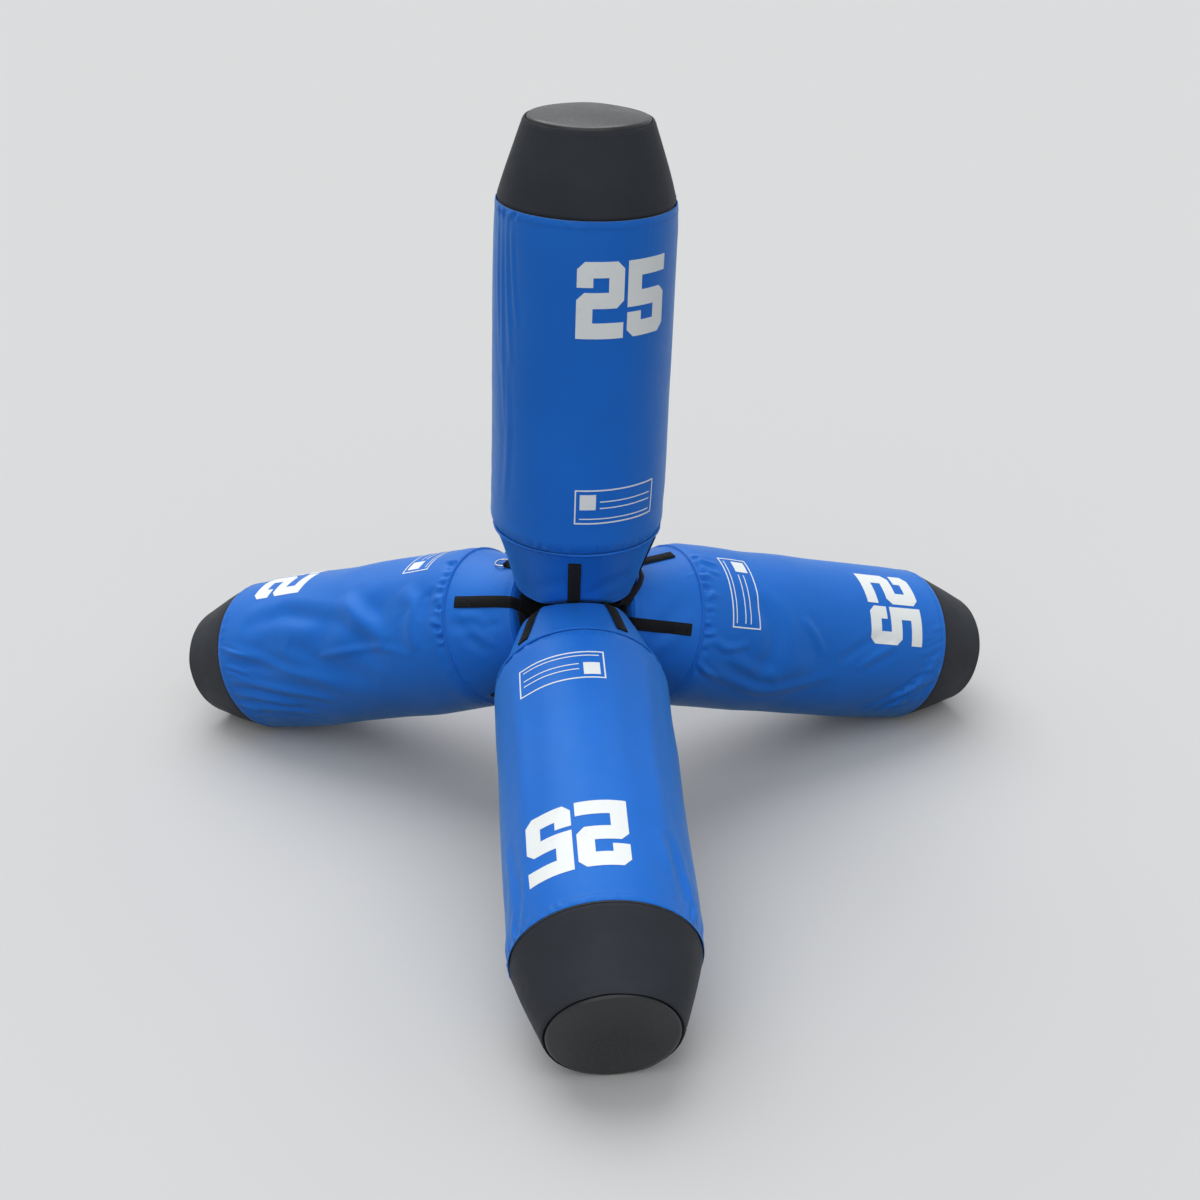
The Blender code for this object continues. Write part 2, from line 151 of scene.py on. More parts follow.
# Foam core: how far it stays inside its covers, and its spacing
FOAM_SINK = 0.0045
FOAM_UNDER_SLEEVE = 0.0032
FOAM_BASE_INSET = 0.0050
FOAM_TIP_INSET = 0.0100
FOAM_COLUMNS = 128
FOAM_STEP = 0.007

# Spacing along a section: closest where it turns tightly
TIGHT_ROUND = 0.0045
FINE_STEP = 0.0006
STEP_GROWTH = 0.15
SECTION_STEP = 0.0031

# Grids: columns round an arm, rows and columns of the simulated cloth
COLUMNS = 352
CLOTH_ROWS = 76
CLOTH_COLUMNS = 120
CLOTH_EVENING = 3
CLOTH_SLACK_SHARES = {"top": 0.30, "front": 0.40, "left": 1.0, "right": 0.85}
CLOTH_TWISTS = {"top": 0.0, "front": 0.0, "left": -4.0, "right": 4.0}

# The simulated cloth's behaviour, the firm core that it settles on, and how far it may creep
# along and round the arm
CLOTH_MAKE = {
    "quality": 5, "mass": 0.06, "tension_stiffness": 30.0, "compression_stiffness": 18.0,
    "shear_stiffness": 6.0, "bending_stiffness": 5.0, "air_damping": 2.5,
}
CORE_SINK = 0.0030
CORE_COLUMNS = 72
MOST_CREEP = 0.004

# Seeds of the random folds of each kind of cover
SLEEVE_SEED = 11
BASE_SEED = 31
TIP_CONE_SEED = 51
TIP_PANEL_SEED = 71

# Stitched rounds, by the cover that they are on and their station
BLUE_ROUNDS = (("_sleeve", TIP_SEAM_STATION - 0.0115), ("_base", BASE_SEAM_STATION - 0.0058),
               ("_base", BASE_STATION + 0.0160))
BLACK_ROUNDS = (("_tip", TIP_STATION - 0.0075), ("_tip", TIP_SEAM_STATION + 0.0090))
ROUND_STEPS = 360

# The box of stitches on a strap's sewn end: inside its sides, and from and to along it
BOX_INSET = 0.0030
BOX_ENDS = (0.0035, 0.0280)

# Print, on every arm: stations, and the angles where it starts and ends
NUMBER_STATIONS = (0.5655, 0.690)
PANEL_STATIONS = (0.2445, 0.306)
NUMBER_ANGLES = {
    "top": (-8.4, 53.0), "front": (-17.0, 46.0), "left": (-22.7, 39.0), "right": (12.3, 71.5),
}
PANEL_ANGLES = {
    "top": (-5.8, 51.5), "front": (-13.6, 43.9), "left": (-19.9, 37.5), "right": (12.6, 69.3),
}
NUMBER = "25"
PRINT_CELL = 0.0034

# A block numeral, in parts of its width
NUMERAL_HEIGHT = 1.62
NUMERAL_BAR = 0.335
NUMERAL_CUT = 0.155
NUMERAL_TAIL = 0.20
NUMERAL_GAP = 0.085

# The camera stands where the photograph was taken
CAMERA_PLACE = (-0.1495, -2.7702, 1.7637)
CAMERA_HEADING = 3.313
CAMERA_FALL = 24.918
CAMERA_ROLL = -1.782
CAMERA_LENS = 54.2
CAMERA_SENSOR = 36.0

# Tilts of the lamps about X and Y, from straight down
OVERHEAD_TILTS = (-30.0, -8.0)
FRONT_TILTS = (50.0, -6.0)


# Sizes, colours and light that a user would change

def size_setting(name, description, default, **limits):
    return FloatProperty(name=name, description=description, default=default, unit="LENGTH",
                         **limits)


def share_setting(name, description, default, most):
    return FloatProperty(name=name, description=description, default=default, min=0.0, max=most,
                         subtype="FACTOR")


def angle_setting(name, description, degrees):
    return FloatProperty(name=name, description=description, default=math.radians(degrees),
                         subtype="ANGLE")


def strength_setting(name, description, default):
    return FloatProperty(name=name, description=description, default=default, min=0.0)


def colour_setting(name, description, *default):
    return FloatVectorProperty(name=name, description=description, default=default, size=3,
                               subtype="COLOR")


class CoverSettings(bpy.types.PropertyGroup):
    """Sizes and colours of the sewn covers."""
    cloth_thickness: size_setting("Cloth thickness", "Wall of the blue covers", 0.0012, min=0.0005)
    vinyl_thickness: size_setting("Vinyl thickness", "Wall of the black end covers", 0.0014,
                                  min=0.0005)
    slack_around: share_setting("Slack around", "Spare cloth round an arm, as a share of its girth",
                                0.011, 0.05)
    slack_along: share_setting("Slack along", "Spare cloth along an arm, as a share of its length",
                               0.006, 0.05)
    settle_frames: IntProperty(
        name="Settle frames", description="Frames for which the loose cloth settles",
        default=26, min=2)
    most_sink: size_setting("Most sink", "Furthest that loose cloth sinks into the foam", 0.0045)
    most_rise: size_setting("Most rise", "Furthest that loose cloth stands off the foam", 0.0065)
    cloth_colour: colour_setting("Cloth colour", "Coated blue cloth", 0.011, 0.152, 0.670)
    vinyl_colour: colour_setting("Vinyl colour", "Black vinyl of the end covers",
                                 0.0350, 0.0385, 0.0470)
    foam_colour: colour_setting("Foam colour", "Grey foam inside the covers", 0.300, 0.310, 0.320)


class TrimSettings(bpy.types.PropertyGroup):
    """Sizes and colours of webbing, thread, print and ring."""
    rib_pitch: size_setting("Rib pitch", "Distance between the ribs of the webbing", 0.0027,
                            min=0.001)
    rib_height: size_setting("Rib height", "How far a rib stands off the webbing", 0.00035)
    stitch_pitch: size_setting("Stitch pitch", "Distance from one stitch to the next", 0.0042,
                               min=0.002)
    stitch_length: size_setting("Stitch length", "Length of thread that shows at each stitch",
                                0.0031)
    thread_thickness: size_setting("Thread thickness", "Thickness of the sewing thread", 0.0008)
    print_thickness: size_setting("Print thickness", "Thickness of the printed film", 0.0003)
    webbing_colour: colour_setting("Webbing colour", "Black webbing", 0.0042, 0.0044, 0.0052)
    print_colour: colour_setting("Print colour", "White print", 0.92, 0.95, 0.95)
    steel_colour: colour_setting("Steel colour", "Plated steel of the ring", 0.62, 0.63, 0.64)


class StageSettings(bpy.types.PropertyGroup):
    """Floor and light."""
    floor_size: size_setting("Floor size", "Side of the floor", 80.0)
    floor_colour: colour_setting("Floor colour", "Pale floor, as the camera sees it",
                                 0.625, 0.625, 0.625)
    floor_bounce: colour_setting("Floor bounce", "Floor colour for the light that it throws back up",
                                 0.06, 0.06, 0.06)
    overhead_strength: strength_setting("Overhead light", "Strength of the soft light from above",
                                        1.60)
    overhead_spread: angle_setting("Overhead spread",
                                   "Angle over which the light from above is spread", 60.0)
    front_strength: strength_setting("Front light", "Strength of the soft light from the front",
                                     0.80)
    front_spread: angle_setting("Front spread",
                                "Angle over which the light from the front is spread", 80.0)
    room_strength: strength_setting("Room light", "Strength of the even light from all round", 0.56)


# Arm frames

def floor_direction(azimuth, fall):
    """A direction that leaves the hub at an azimuth from -Y and falls below the level."""
    turn = math.radians(azimuth)
    level = math.cos(fall)
    return np.array((math.sin(turn) * level, -math.cos(turn) * level, -math.sin(fall)))


def unit(vectors):
    """Vectors of length one, along the last axis."""
    lengths = np.linalg.norm(vectors, axis=-1, keepdims=True)
    return vectors / np.maximum(lengths, 1e-12)


def even_angles(count):
    return math.tau * np.arange(count) / count


def round_points(radius, angles, stations):
    """Local points from their radius, angle and station."""
    parts = (radius * np.cos(angles), radius * np.sin(angles), stations)
    return np.stack(np.broadcast_arrays(*parts), axis=-1)


def arm_directions():
    directions = {"top": floor_direction(TOP_LEAN_AZIMUTH, -math.radians(90.0 - TOP_LEAN))}
    for name, azimuth in AZIMUTHS.items():
        directions[name] = floor_direction(azimuth, ARM_TILT)
    return directions


def hub_place():
    """The front arm lies square to X, so its boxes give the hub."""
    low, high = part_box("front_sleeve")
    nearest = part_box("front_tip_cone")[0].y
    rim = TIP_RADIUS * math.cos(math.pi / FACETS_AROUND)
    reach = TIP_STATION * math.cos(ARM_TILT) + rim * math.sin(ARM_TILT)
    return np.array(((low.x + high.x) / 2, nearest + reach, HUB_HEIGHT))


def pushed(points, normal, distance, softness):
    """Push points to a distance from a plane through the hub, with a soft edge."""
    short = distance - points @ normal
    push = softness * np.logaddexp(0.0, short / softness)
    return points + normal * push[..., None]


class Arm:
    """An arm's frame, and the planes that its soft pieces are pressed against."""

    def __init__(self, name, directions, hub):
        direction = directions[name]
        zero_side = np.array((0.0, -1.0, 0.0) if name == "top" else (0.0, 0.0, 1.0))
        across = unit(zero_side - zero_side.dot(direction) * direction)
        self.name = name
        self.hub = hub
        self.turn = np.column_stack((across, np.cross(direction, across), direction))
        others = [way for other, way in directions.items() if other != name]
        self.meeting = [unit(direction - way) @ self.turn for way in others]
        self.up = np.array((0.0, 0.0, 1.0)) @ self.turn

    def world(self, points):
        return points @ self.turn.T + self.hub

    def pressed(self, points, depth, room=STRAP_ROOM):
        """Press local points against the neighbouring arms and the floor."""
        for normal in self.meeting:
            points = pushed(points, normal, room + depth, MEETING_ROUND)
        return pushed(points, self.up, depth + FLOOR_ROUND - HUB_HEIGHT, FLOOR_ROUND)


DIRECTIONS = arm_directions()
ARMS = {name: Arm(name, DIRECTIONS, hub_place()) for name in DIRECTIONS}
SKINS = {}


# Sections: the line of a cover in the plane of station and radius

def rounded_line(corners, step=SECTION_STEP, details=()):
    """Round a line of (station, radius, rounding) corners; its places are closest by details."""
    places = [np.array(corners[0][:2])]
    details = [np.array(detail) for detail in details]
    for before, corner, after in zip(corners, corners[1:], corners[2:]):
        middle = np.array(corner[:2])
        start = middle + unit(np.array(before[:2]) - middle) * corner[2]
        end = middle + unit(np.array(after[:2]) - middle) * corner[2]
        for share in np.linspace(0.0, 1.0, 12):
            first = start + (middle - start) * share
            second = middle + (end - middle) * share
            places.append(first + (second - first) * share)
        if corner[2] < TIGHT_ROUND:
            details.append(middle)
    places.append(np.array(corners[-1][:2]))
    places = np.array(places)
    dense = np.linspace(0.0, run_lengths(places)[-1], 3000)
    line = places_at(dense, places)
    wanted = np.full(len(dense), step)
    for detail in details:
        away = np.linalg.norm(line - detail, axis=1)
        wanted = np.minimum(wanted, FINE_STEP + STEP_GROWTH * away)
    counted = np.concatenate(([0.0], np.cumsum(np.diff(dense) / wanted[1:])))
    count = max(int(round(counted[-1])), 2) + 1
    return places_at(np.interp(np.linspace(0.0, counted[-1], count), counted, dense), places)


def run_lengths(places):
    """Length along a line at each of its places."""
    steps = np.linalg.norm(np.diff(places, axis=0), axis=1)
    return np.concatenate(([0.0], np.cumsum(steps)))


def places_at(spots, places, values=None):
    """A line's places, or other values that go with them, at lengths along the line."""
    values = places if values is None else values
    return np.column_stack([np.interp(spots, run_lengths(places), part) for part in values.T])


def base_section():
    """From the turned-in hem on the hub side, over the soft rim, and out to the base seam."""
    return rounded_line([
        (BASE_STATION + SEAM_ROUND, BASE_RADIUS - RIM_TURN_IN, 0.0),
        (BASE_STATION, BASE_RADIUS - RIM_TURN_IN, SEAM_ROUND * 0.9),
        (BASE_STATION, BASE_RADIUS, RIM_ROUND),
        (BASE_SEAM_STATION - 0.0012, BASE_SEAM_RADIUS - 0.0004, 0.0010),
        (BASE_SEAM_STATION - 0.0003, BASE_SEAM_RADIUS - SEAM_SINK, 0.0),
    ], details=[(BASE_STATION + PIPING_RISE, BASE_RADIUS + 0.0005)])


def sleeve_section():
    """From the base seam over the shoulder, along the arm, and round the hem at the tip seam."""
    return rounded_line([
        (BASE_SEAM_STATION + 0.0003, BASE_SEAM_RADIUS - SEAM_SINK, 0.0),
        (BASE_SEAM_STATION + 0.0012, BASE_SEAM_RADIUS + 0.0002, 0.0010),
        (BASE_SEAM_STATION + 0.0140, ARM_RADIUS, 0.0100),
        (TIP_SEAM_STATION - 0.0300, ARM_RADIUS, 0.0250),
        (TIP_SEAM_STATION + 0.0008, TIP_SEAM_RADIUS + 0.0006, 0.0012),
        (TIP_SEAM_STATION - 0.0002, TIP_SEAM_RADIUS - SEAM_SINK, 0.0),
    ])


def tip_cone_section():
    """From under the sleeve's hem to the turned-in rim round the tip panel."""
    slope = (TIP_SEAM_RADIUS - TIP_RADIUS) / TIP_CONE_LENGTH
    return rounded_line([
        (TIP_SEAM_STATION + 0.0006, TIP_SEAM_RADIUS - 0.0030, 0.0),
        (TIP_SEAM_STATION + 0.0040, TIP_SEAM_RADIUS - 0.0006 - slope * 0.0040, 0.0030),
        (TIP_STATION + 0.0002, TIP_RADIUS, TIP_RIM_ROUND),
        (TIP_STATION - 0.0022, TIP_RADIUS - 0.0024, 0.0010),
        (TIP_STATION - 0.0064, TIP_RADIUS - 0.0034, 0.0),
    ])


def tip_panel_section():
    """From the groove beside the rim over the crown to the middle of the tip panel."""
    edge = TIP_RADIUS - 0.0036
    return rounded_line([
        (TIP_STATION - 0.0066, edge, 0.0),
        (TIP_STATION + 0.0022, edge, 0.0052),
        (TIP_STATION + TIP_DOME * 0.90, edge * 0.50, edge * 0.42),
        (TIP_STATION + TIP_DOME, 0.0, 0.0),
    ])


def base_panel_section():
    edge = BASE_RADIUS - RIM_TURN_IN - 0.0012
    return rounded_line([
        (BASE_STATION + 0.0008, 0.0, 0.0),
        (BASE_STATION + 0.0010, edge, 0.0020),
        (BASE_STATION + 0.0040, edge, 0.0),
    ])


def foam_section():
    """The foam core's line, from its middle at the hub to its middle at the tip."""
    low = BASE_STATION + FOAM_BASE_INSET
    high = TIP_STATION - FOAM_TIP_INSET
    return rounded_line([
        (low, 0.001, 0.0), (low, BASE_RADIUS, 0.010),
        (BASE_SEAM_STATION, BASE_SEAM_RADIUS - 0.001, 0.010),
        (BASE_SEAM_STATION + 0.016, ARM_RADIUS, 0.010),
        (TIP_SEAM_STATION - 0.030, ARM_RADIUS, 0.020),
        (TIP_SEAM_STATION, TIP_SEAM_RADIUS, 0.010),
        (high, TIP_RADIUS, 0.006), (high, 0.001, 0.0),
    ], FOAM_STEP)


# Relief: folds, dents and gathers that stand off a cover

def fold_profile(gaps, width, valley):
    """Across a fold: a ridge, with a valley on both sides."""
    ridge = np.exp(-(gaps / width) ** 2)
    return ridge - valley * np.exp(-((np.abs(gaps) - 1.9 * width) / width) ** 2)


class Relief:
    """Heights over a cover's grid, in metres."""

    def __init__(self, section, seed):
        self.station, self.angle = np.meshgrid(section[:, 0], even_angles(COLUMNS), indexing="ij")
        self.radius = np.repeat(section[:, 1:2], COLUMNS, axis=1)
        self.height = np.zeros_like(self.station)
        self.random = np.random.default_rng(seed)

    def around(self, degrees):
        """Distance round the arm from an angle, the short way."""
        turn = self.angle - math.radians(degrees)
        return (np.mod(turn + math.pi, math.tau) - math.pi) * self.radius

    def crease(self, places, width, rise, valley=0.45):
        """A soft ridge with a valley on both sides, on a curve through (station, degrees) places."""
        places = np.array(places, float)
        middle = places[:, 1].mean()
        flat = np.column_stack((places[:, 0], np.radians(places[:, 1] - middle) * ARM_RADIUS))
        steps = np.linspace(0.0, len(flat) - 1.0, 5 * (len(flat) - 1) + 1)
        line = finer(flat, steps, False)
        reach = 4.0 * width
        around = self.around(middle)
        low = line.min(axis=0) - reach
        high = line.max(axis=0) + reach
        near = (self.station > low[0]) & (self.station < high[0])
        near &= (around > low[1]) & (around < high[1])
        spots = np.column_stack((self.station[near], around[near]))
        gaps = np.full(len(spots), np.inf)
        shares = np.zeros(len(spots))
        for index, (start, end) in enumerate(zip(line, line[1:])):
            way = end - start
            along = np.clip((spots - start) @ way / (way @ way), 0.0, 1.0)
            gap = np.linalg.norm(spots - start - along[:, None] * way, axis=1)
            shares = np.where(gap < gaps, (index + along) / (len(line) - 1), shares)
            gaps = np.minimum(gap, gaps)
        fade = np.clip(np.sin(math.pi * shares), 0.0, 1.0) ** 0.7
        self.height[near] += rise * fade * fold_profile(gaps, width, valley)

    def creases(self, *rows):
        for row in rows:
            self.crease(*row)

    def dents(self, *rows):
        for row in rows:
            self.dent(*row)

    def dent(self, middle, size_along, size_around, rise):
        along = (self.station - middle[0]) / size_along
        around = self.around(middle[1]) / size_around
        self.height += rise * np.exp(-along ** 2 - around ** 2)

    def gathers(self, seam, count, rise, reach, strength=None):
        """Small pleats that run out from a seam, which is a station and the way off it, and fade."""
        draw = self.random.uniform
        for index in range(count):
            degrees = 360.0 * (index + draw(-0.42, 0.42)) / count
            width = draw(0.0028, 0.0058)
            length = reach * draw(0.45, 1.6)
            lean = draw(-0.35, 0.35)
            size = rise * draw(0.25, 1.25)
            if strength is not None:
                size = size * strength(math.radians(degrees))
            self.pleat(seam, degrees, width, length, size, lean)

    def pleat(self, seam, degrees, width, length, rise, lean=0.0):
        """One pleat: it swells out of the seam, is highest at its length, and fades."""
        off = np.maximum((self.station - seam[0]) * seam[1], 0.0)
        around = self.around(degrees) - lean * off
        share = off / length
        fade = share * np.exp((1.0 - share ** 2) / 2.0)
        self.height += rise * fade * fold_profile(around, width, 0.4)

    def puckers(self, seam, places, rise, reach):
        """Uneven little swellings close to a seam, each with a pinched hollow beside it."""
        draw = self.random.uniform
        for degrees in places:
            size = rise * draw(0.55, 1.20)
            length = reach * draw(0.55, 1.25)
            width = draw(0.0042, 0.0072)
            lean = draw(-0.30, 0.30)
            self.pleat(seam, degrees, width, length, size, lean)
            side = math.degrees(1.35 * width / ARM_RADIUS) * self.random.choice((-1.0, 1.0))
            middle = (seam[0] + seam[1] * length * draw(0.7, 1.3), degrees + side)
            self.dent(middle, 0.0052, 0.0036, -0.75 * size)

    def sweeps(self, seam, degrees, spread, count, rise, reach, lean):
        """Long thin wrinkles that leave a seam side by side and sweep the same way."""
        draw = self.random.uniform
        for _ in range(count):
            angle = degrees + draw(-spread, spread)
            length = reach * draw(0.4, 1.3)
            start = seam[0] + seam[1] * draw(0.000, 0.012)
            end = (start + seam[1] * length, angle + lean * length * draw(0.7, 1.3))
            width = draw(0.0028, 0.0060)
            size = rise * draw(0.35, 1.2)
            bow = draw(-3.0, 3.0)
            middle = ((start + end[0]) / 2, (angle + end[1]) / 2 + bow)
            self.crease(((start, angle), middle, end), width, size)

    def soft_spots(self, count, start, stations, size_along, size_around, rises):
        """Dents and swellings at random places, between two stations counted from a start."""
        draw = self.random.uniform
        for _ in range(count):
            middle = (start + draw(*stations), draw(-180.0, 180.0))
            self.dent(middle, size_along, size_around, draw(*rises))

    def unevenness(self, rise, size):
        """A slow waviness all over."""
        waves = 9
        for _ in range(waves):
            turns = self.random.integers(1, max(int(ARM_RADIUS / size * math.pi), 2) + 1)
            pitch = size * self.random.uniform(1.6, 4.0)
            phase = self.random.uniform(0.0, math.tau)
            wave = np.cos(turns * self.angle + math.tau * self.station / pitch + phase)
            self.height += rise / math.sqrt(waves) * wave

    def ridge(self, place, width, rise):
        """A raised band right round the arm at a station."""
        self.height += rise * np.exp(-((self.station - place) / width) ** 4)

    def hold(self, low, high, reach):
        """Fade everything out toward both ends of the cover, where it is sewn."""
        ends = np.minimum(self.station - low, high - self.station)
        self.height *= np.clip(ends / reach, 0.0, 1.0) ** 0.5


class Skin:
    """A cover's outer surface: a row for each place of its section, a column for each angle."""

    def __init__(self, arm, section, columns=COLUMNS, heights=None, shifts=None):
        self.arm = arm
        self.section = section
        along = np.gradient(section, axis=0)
        outward = unit(np.column_stack((-along[:, 1], along[:, 0])))
        heights = np.zeros((len(section), columns)) if heights is None else heights
        station = section[:, 0:1] + outward[:, 0:1] * heights
        radius = section[:, 1:2] + outward[:, 1:2] * heights
        points = round_points(radius, even_angles(columns), station)
        if shifts is not None:
            points = points + shifts
        self.points = arm.pressed(points, 0.0)
        self.normals = grid_normals(self.points)

    def rows_at(self, stations):
        """Rows of the outer side, along which the stations rise."""
        places = self.section[:, 0]
        first = len(places) - 1 - places[::-1].argmin()
        last = places.argmax()
        return np.interp(stations, places[first:last + 1], np.arange(first, last + 1))

    def at(self, stations, angles, lift):
        """Places in the world on the cover, lifted off it, and the directions off it."""
        rows = self.rows_at(stations)
        point = sampled(self.points, rows, angles)
        normal = unit(sampled(self.normals, rows, angles))
        return self.arm.world(point + normal * lift), normal @ self.arm.turn.T


def grid_normals(points):
    around = np.roll(points, -1, axis=1) - np.roll(points, 1, axis=1)
    along = np.gradient(points, axis=0)
    return unit(np.cross(around, along))


def sampled(grid, rows, angles):
    """Read a grid between its points."""
    rows = np.clip(rows, 0.0, grid.shape[0] - 1.000001)
    columns = np.mod(angles, math.tau) / math.tau * grid.shape[1]
    row = rows.astype(int)
    column = columns.astype(int) % grid.shape[1]
    after = (column + 1) % grid.shape[1]
    down = (rows - row)[..., None]
    side = (columns - np.floor(columns))[..., None]
    near = grid[row, column] * (1.0 - side) + grid[row, after] * side
    far = grid[row + 1, column] * (1.0 - side) + grid[row + 1, after] * side
    return near * (1.0 - down) + far * down


def smooth_weights(share):
    """Weights of the four nearest rows for a smooth curve through all of them."""
    return (
        ((2.0 - share) * share - 1.0) * share / 2.0,
        (share * share * (3.0 * share - 5.0) + 2.0) / 2.0,
        ((4.0 - 3.0 * share) * share + 1.0) * share / 2.0,
        (share - 1.0) * share * share / 2.0,
    )


def finer(grid, places, wraps):
    """Read the first axis of a grid at finer places, along smooth curves."""
    count = grid.shape[0]
    first = np.floor(places).astype(int)
    share = (places - first).reshape((-1,) + (1,) * (grid.ndim - 1))
    total = 0.0
    for offset, weight in zip((-1, 0, 1, 2), smooth_weights(share)):
        index = first + offset
        index = index % count if wraps else np.clip(index, 0, count - 1)
        total = total + grid[index] * weight
    return total


# Meshes

def to_mesh(name, points, faces, around_lengths=None):
    """A smooth mesh from arrays; around_lengths is the UV place of every face corner."""
    mesh = bpy.data.meshes.new(name)
    mesh.from_pydata(np.asarray(points).tolist(), [], faces)
    mesh.shade_smooth()
    if around_lengths is not None:
        layer = mesh.uv_layers.new(name="cloth")
        layer.data.foreach_set("uv", np.asarray(around_lengths, np.float32).ravel())
    mesh.update()
    return mesh


def tube_faces(rows, columns, closed=False):
    """Faces between each row of a tube's points and the next, and from the last to the first."""
    column = np.arange(columns)
    after = (column + 1) % columns
    faces = []
    for row in range(rows if closed else rows - 1):
        low = row * columns
        high = (row + 1) % rows * columns
        faces += np.stack((low + column, low + after, high + after, high + column), 1).tolist()
    return faces


def surface(name, rows, ends):
    """Closed mesh over rows of points: joined runs round to its first row, poles closes each end."""
    count, columns = rows.shape[:2]
    points = rows.reshape(-1, 3).copy()
    points[:, 2] = np.maximum(points[:, 2], 0.0)
    faces = tube_faces(count, columns, ends == "joined")
    bands = len(faces) // columns
    steps = np.linalg.norm(np.diff(rows, axis=0), axis=2).mean(axis=1)
    lengths = np.concatenate(([0.0], np.cumsum(steps), [steps.sum()]))
    around = np.arange(columns + 1) * (math.tau * ARM_RADIUS / columns)
    spans = np.empty((bands, columns, 4, 2))
    spans[..., (0, 3), 0] = around[:-1, None]
    spans[..., (1, 2), 0] = around[1:, None]
    spans[..., (0, 1), 1] = lengths[:bands, None, None]
    spans[..., (2, 3), 1] = lengths[1:bands + 1, None, None]
    corners = [spans.reshape(-1, 2)]
    if ends == "poles":
        column = np.arange(columns)
        after = (column + 1) % columns
        for row, order in ((0, 1), (count - 1, -1)):
            pole = len(points)
            points = np.vstack((points, rows[row].mean(axis=0)))
            ring = np.stack((row * columns + after, row * columns + column), axis=1)[:, ::order]
            faces += [(first, second, pole) for first, second in ring.tolist()]
            fan = np.zeros((columns, 3, 2))
            fan[:, :, 0] = around[:-1, None]
            fan[:, :, 1] = lengths[row]
            corners.append(fan.reshape(-1, 2))
    return to_mesh(name, points, faces, np.vstack(corners))


def set_all(holder, **values):
    for name, value in values.items():
        setattr(holder, name, value)
    return holder


def linked(name, data):
    """A new object of the scene that holds this data."""
    holder = bpy.data.objects.new(name, data)
    bpy.context.scene.collection.objects.link(holder)
    return holder


def add_piece(mesh, finish_name, stands_for=None, body="bag"):
    """Link a finished mesh as a piece of the same name that rides on a body."""
    piece = linked(mesh.name, mesh)
    mesh.materials.clear()
    mesh.materials.append(material(finish_name))
    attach(piece, body)
    if stands_for:
        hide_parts(stands_for)
    return piece


def wall(name, skin, thickness, inner_every=6):
    """A cover's wall: its fine outer side, and an inner side with fewer rows."""
    outer = skin.points
    inner = outer - skin.normals * thickness
    picked = sorted(set(range(0, len(outer), inner_every)) | {len(outer) - 1}, reverse=True)
    rows = np.concatenate((outer, inner[picked]))
    return surface(name, skin.arm.world(rows), "joined")


# Materials

def give(tree, socket, value):
    """Link another node's output to a socket, or set the socket to a value."""
    if isinstance(value, bpy.types.NodeSocket):
        tree.links.new(value, socket)
    else:
        socket.default_value = value


def add_node(tree, kind, inputs=(), **settings):
    """Add a node, give it its inputs by name or number, and return its outputs."""
    made = set_all(tree.nodes.new(kind), **settings)
    for name, value in dict(inputs).items():
        give(tree, made.inputs[name], value)
    return made.outputs


class Finish:
    """A material, with its nodes made one by one."""

    def __init__(self, name, colour, roughness, metallic=0.0):
        self.material = bpy.data.materials.new(name)
        self.material.use_nodes = True
        self.material.diffuse_color = shaded(colour)
        self.tree = self.material.node_tree
        self.shader = self.tree.nodes["Principled BSDF"]
        self.set(Base_Color=shaded(colour), Roughness=roughness, Metallic=metallic)
        self.place = self.node("ShaderNodeTexCoord", output="Object")

    def set(self, **values):
        """Give the shader its inputs: values, or other nodes' outputs."""
        for name, value in values.items():
            give(self.tree, self.shader.inputs[name.replace("_", " ")], value)

    def node(self, kind, inputs=(), output=0, **settings):
        return add_node(self.tree, kind, inputs, **settings)[output]

    def noise(self, scale, detail=2.0, roughness=0.5, stretch=None):
        place = self.place
        if stretch:
            place = self.node("ShaderNodeMapping", {"Vector": place, "Scale": stretch})
        return self.node("ShaderNodeTexNoise", {"Vector": place, "Scale": scale,
                                                "Detail": detail, "Roughness": roughness})

    def ramp(self, value, low, high, to_low=0.0, to_high=1.0):
        return self.node("ShaderNodeMapRange", {0: value, 1: low, 2: high, 3: to_low, 4: to_high})

    def math(self, first, second, operation="MULTIPLY"):
        return self.node("ShaderNodeMath", {0: first, 1: second}, operation=operation)

    def mix(self, share, first, second):
        return self.node("ShaderNodeMix", {0: share, 6: first, 7: second}, 2, data_type="RGBA")

    def bump(self, height, depth, strength=1.0, under=None):
        inputs = {"Height": height, "Distance": depth, "Strength": strength}
        if under is not None:
            inputs["Normal"] = under
        return self.node("ShaderNodeBump", inputs)


def darker(colour, factor):
    return tuple(part * factor for part in colour)


def shaded(colour, factor=1.0):
    return (*darker(colour, factor), 1.0)


def weave_heights(finish, pitch):
    """Warp and weft that pass over and under each other, from the cover's own UV map."""
    cloth = finish.node("ShaderNodeUVMap", uv_map="cloth")
    parts = add_node(finish.tree, "ShaderNodeSeparateXYZ", {0: cloth})
    waves = [finish.node("ShaderNodeMath", {0: finish.math(part, math.tau / pitch)}, operation="SINE")
             for part in (parts[0], parts[1])]
    return finish.math(waves[0], waves[1])


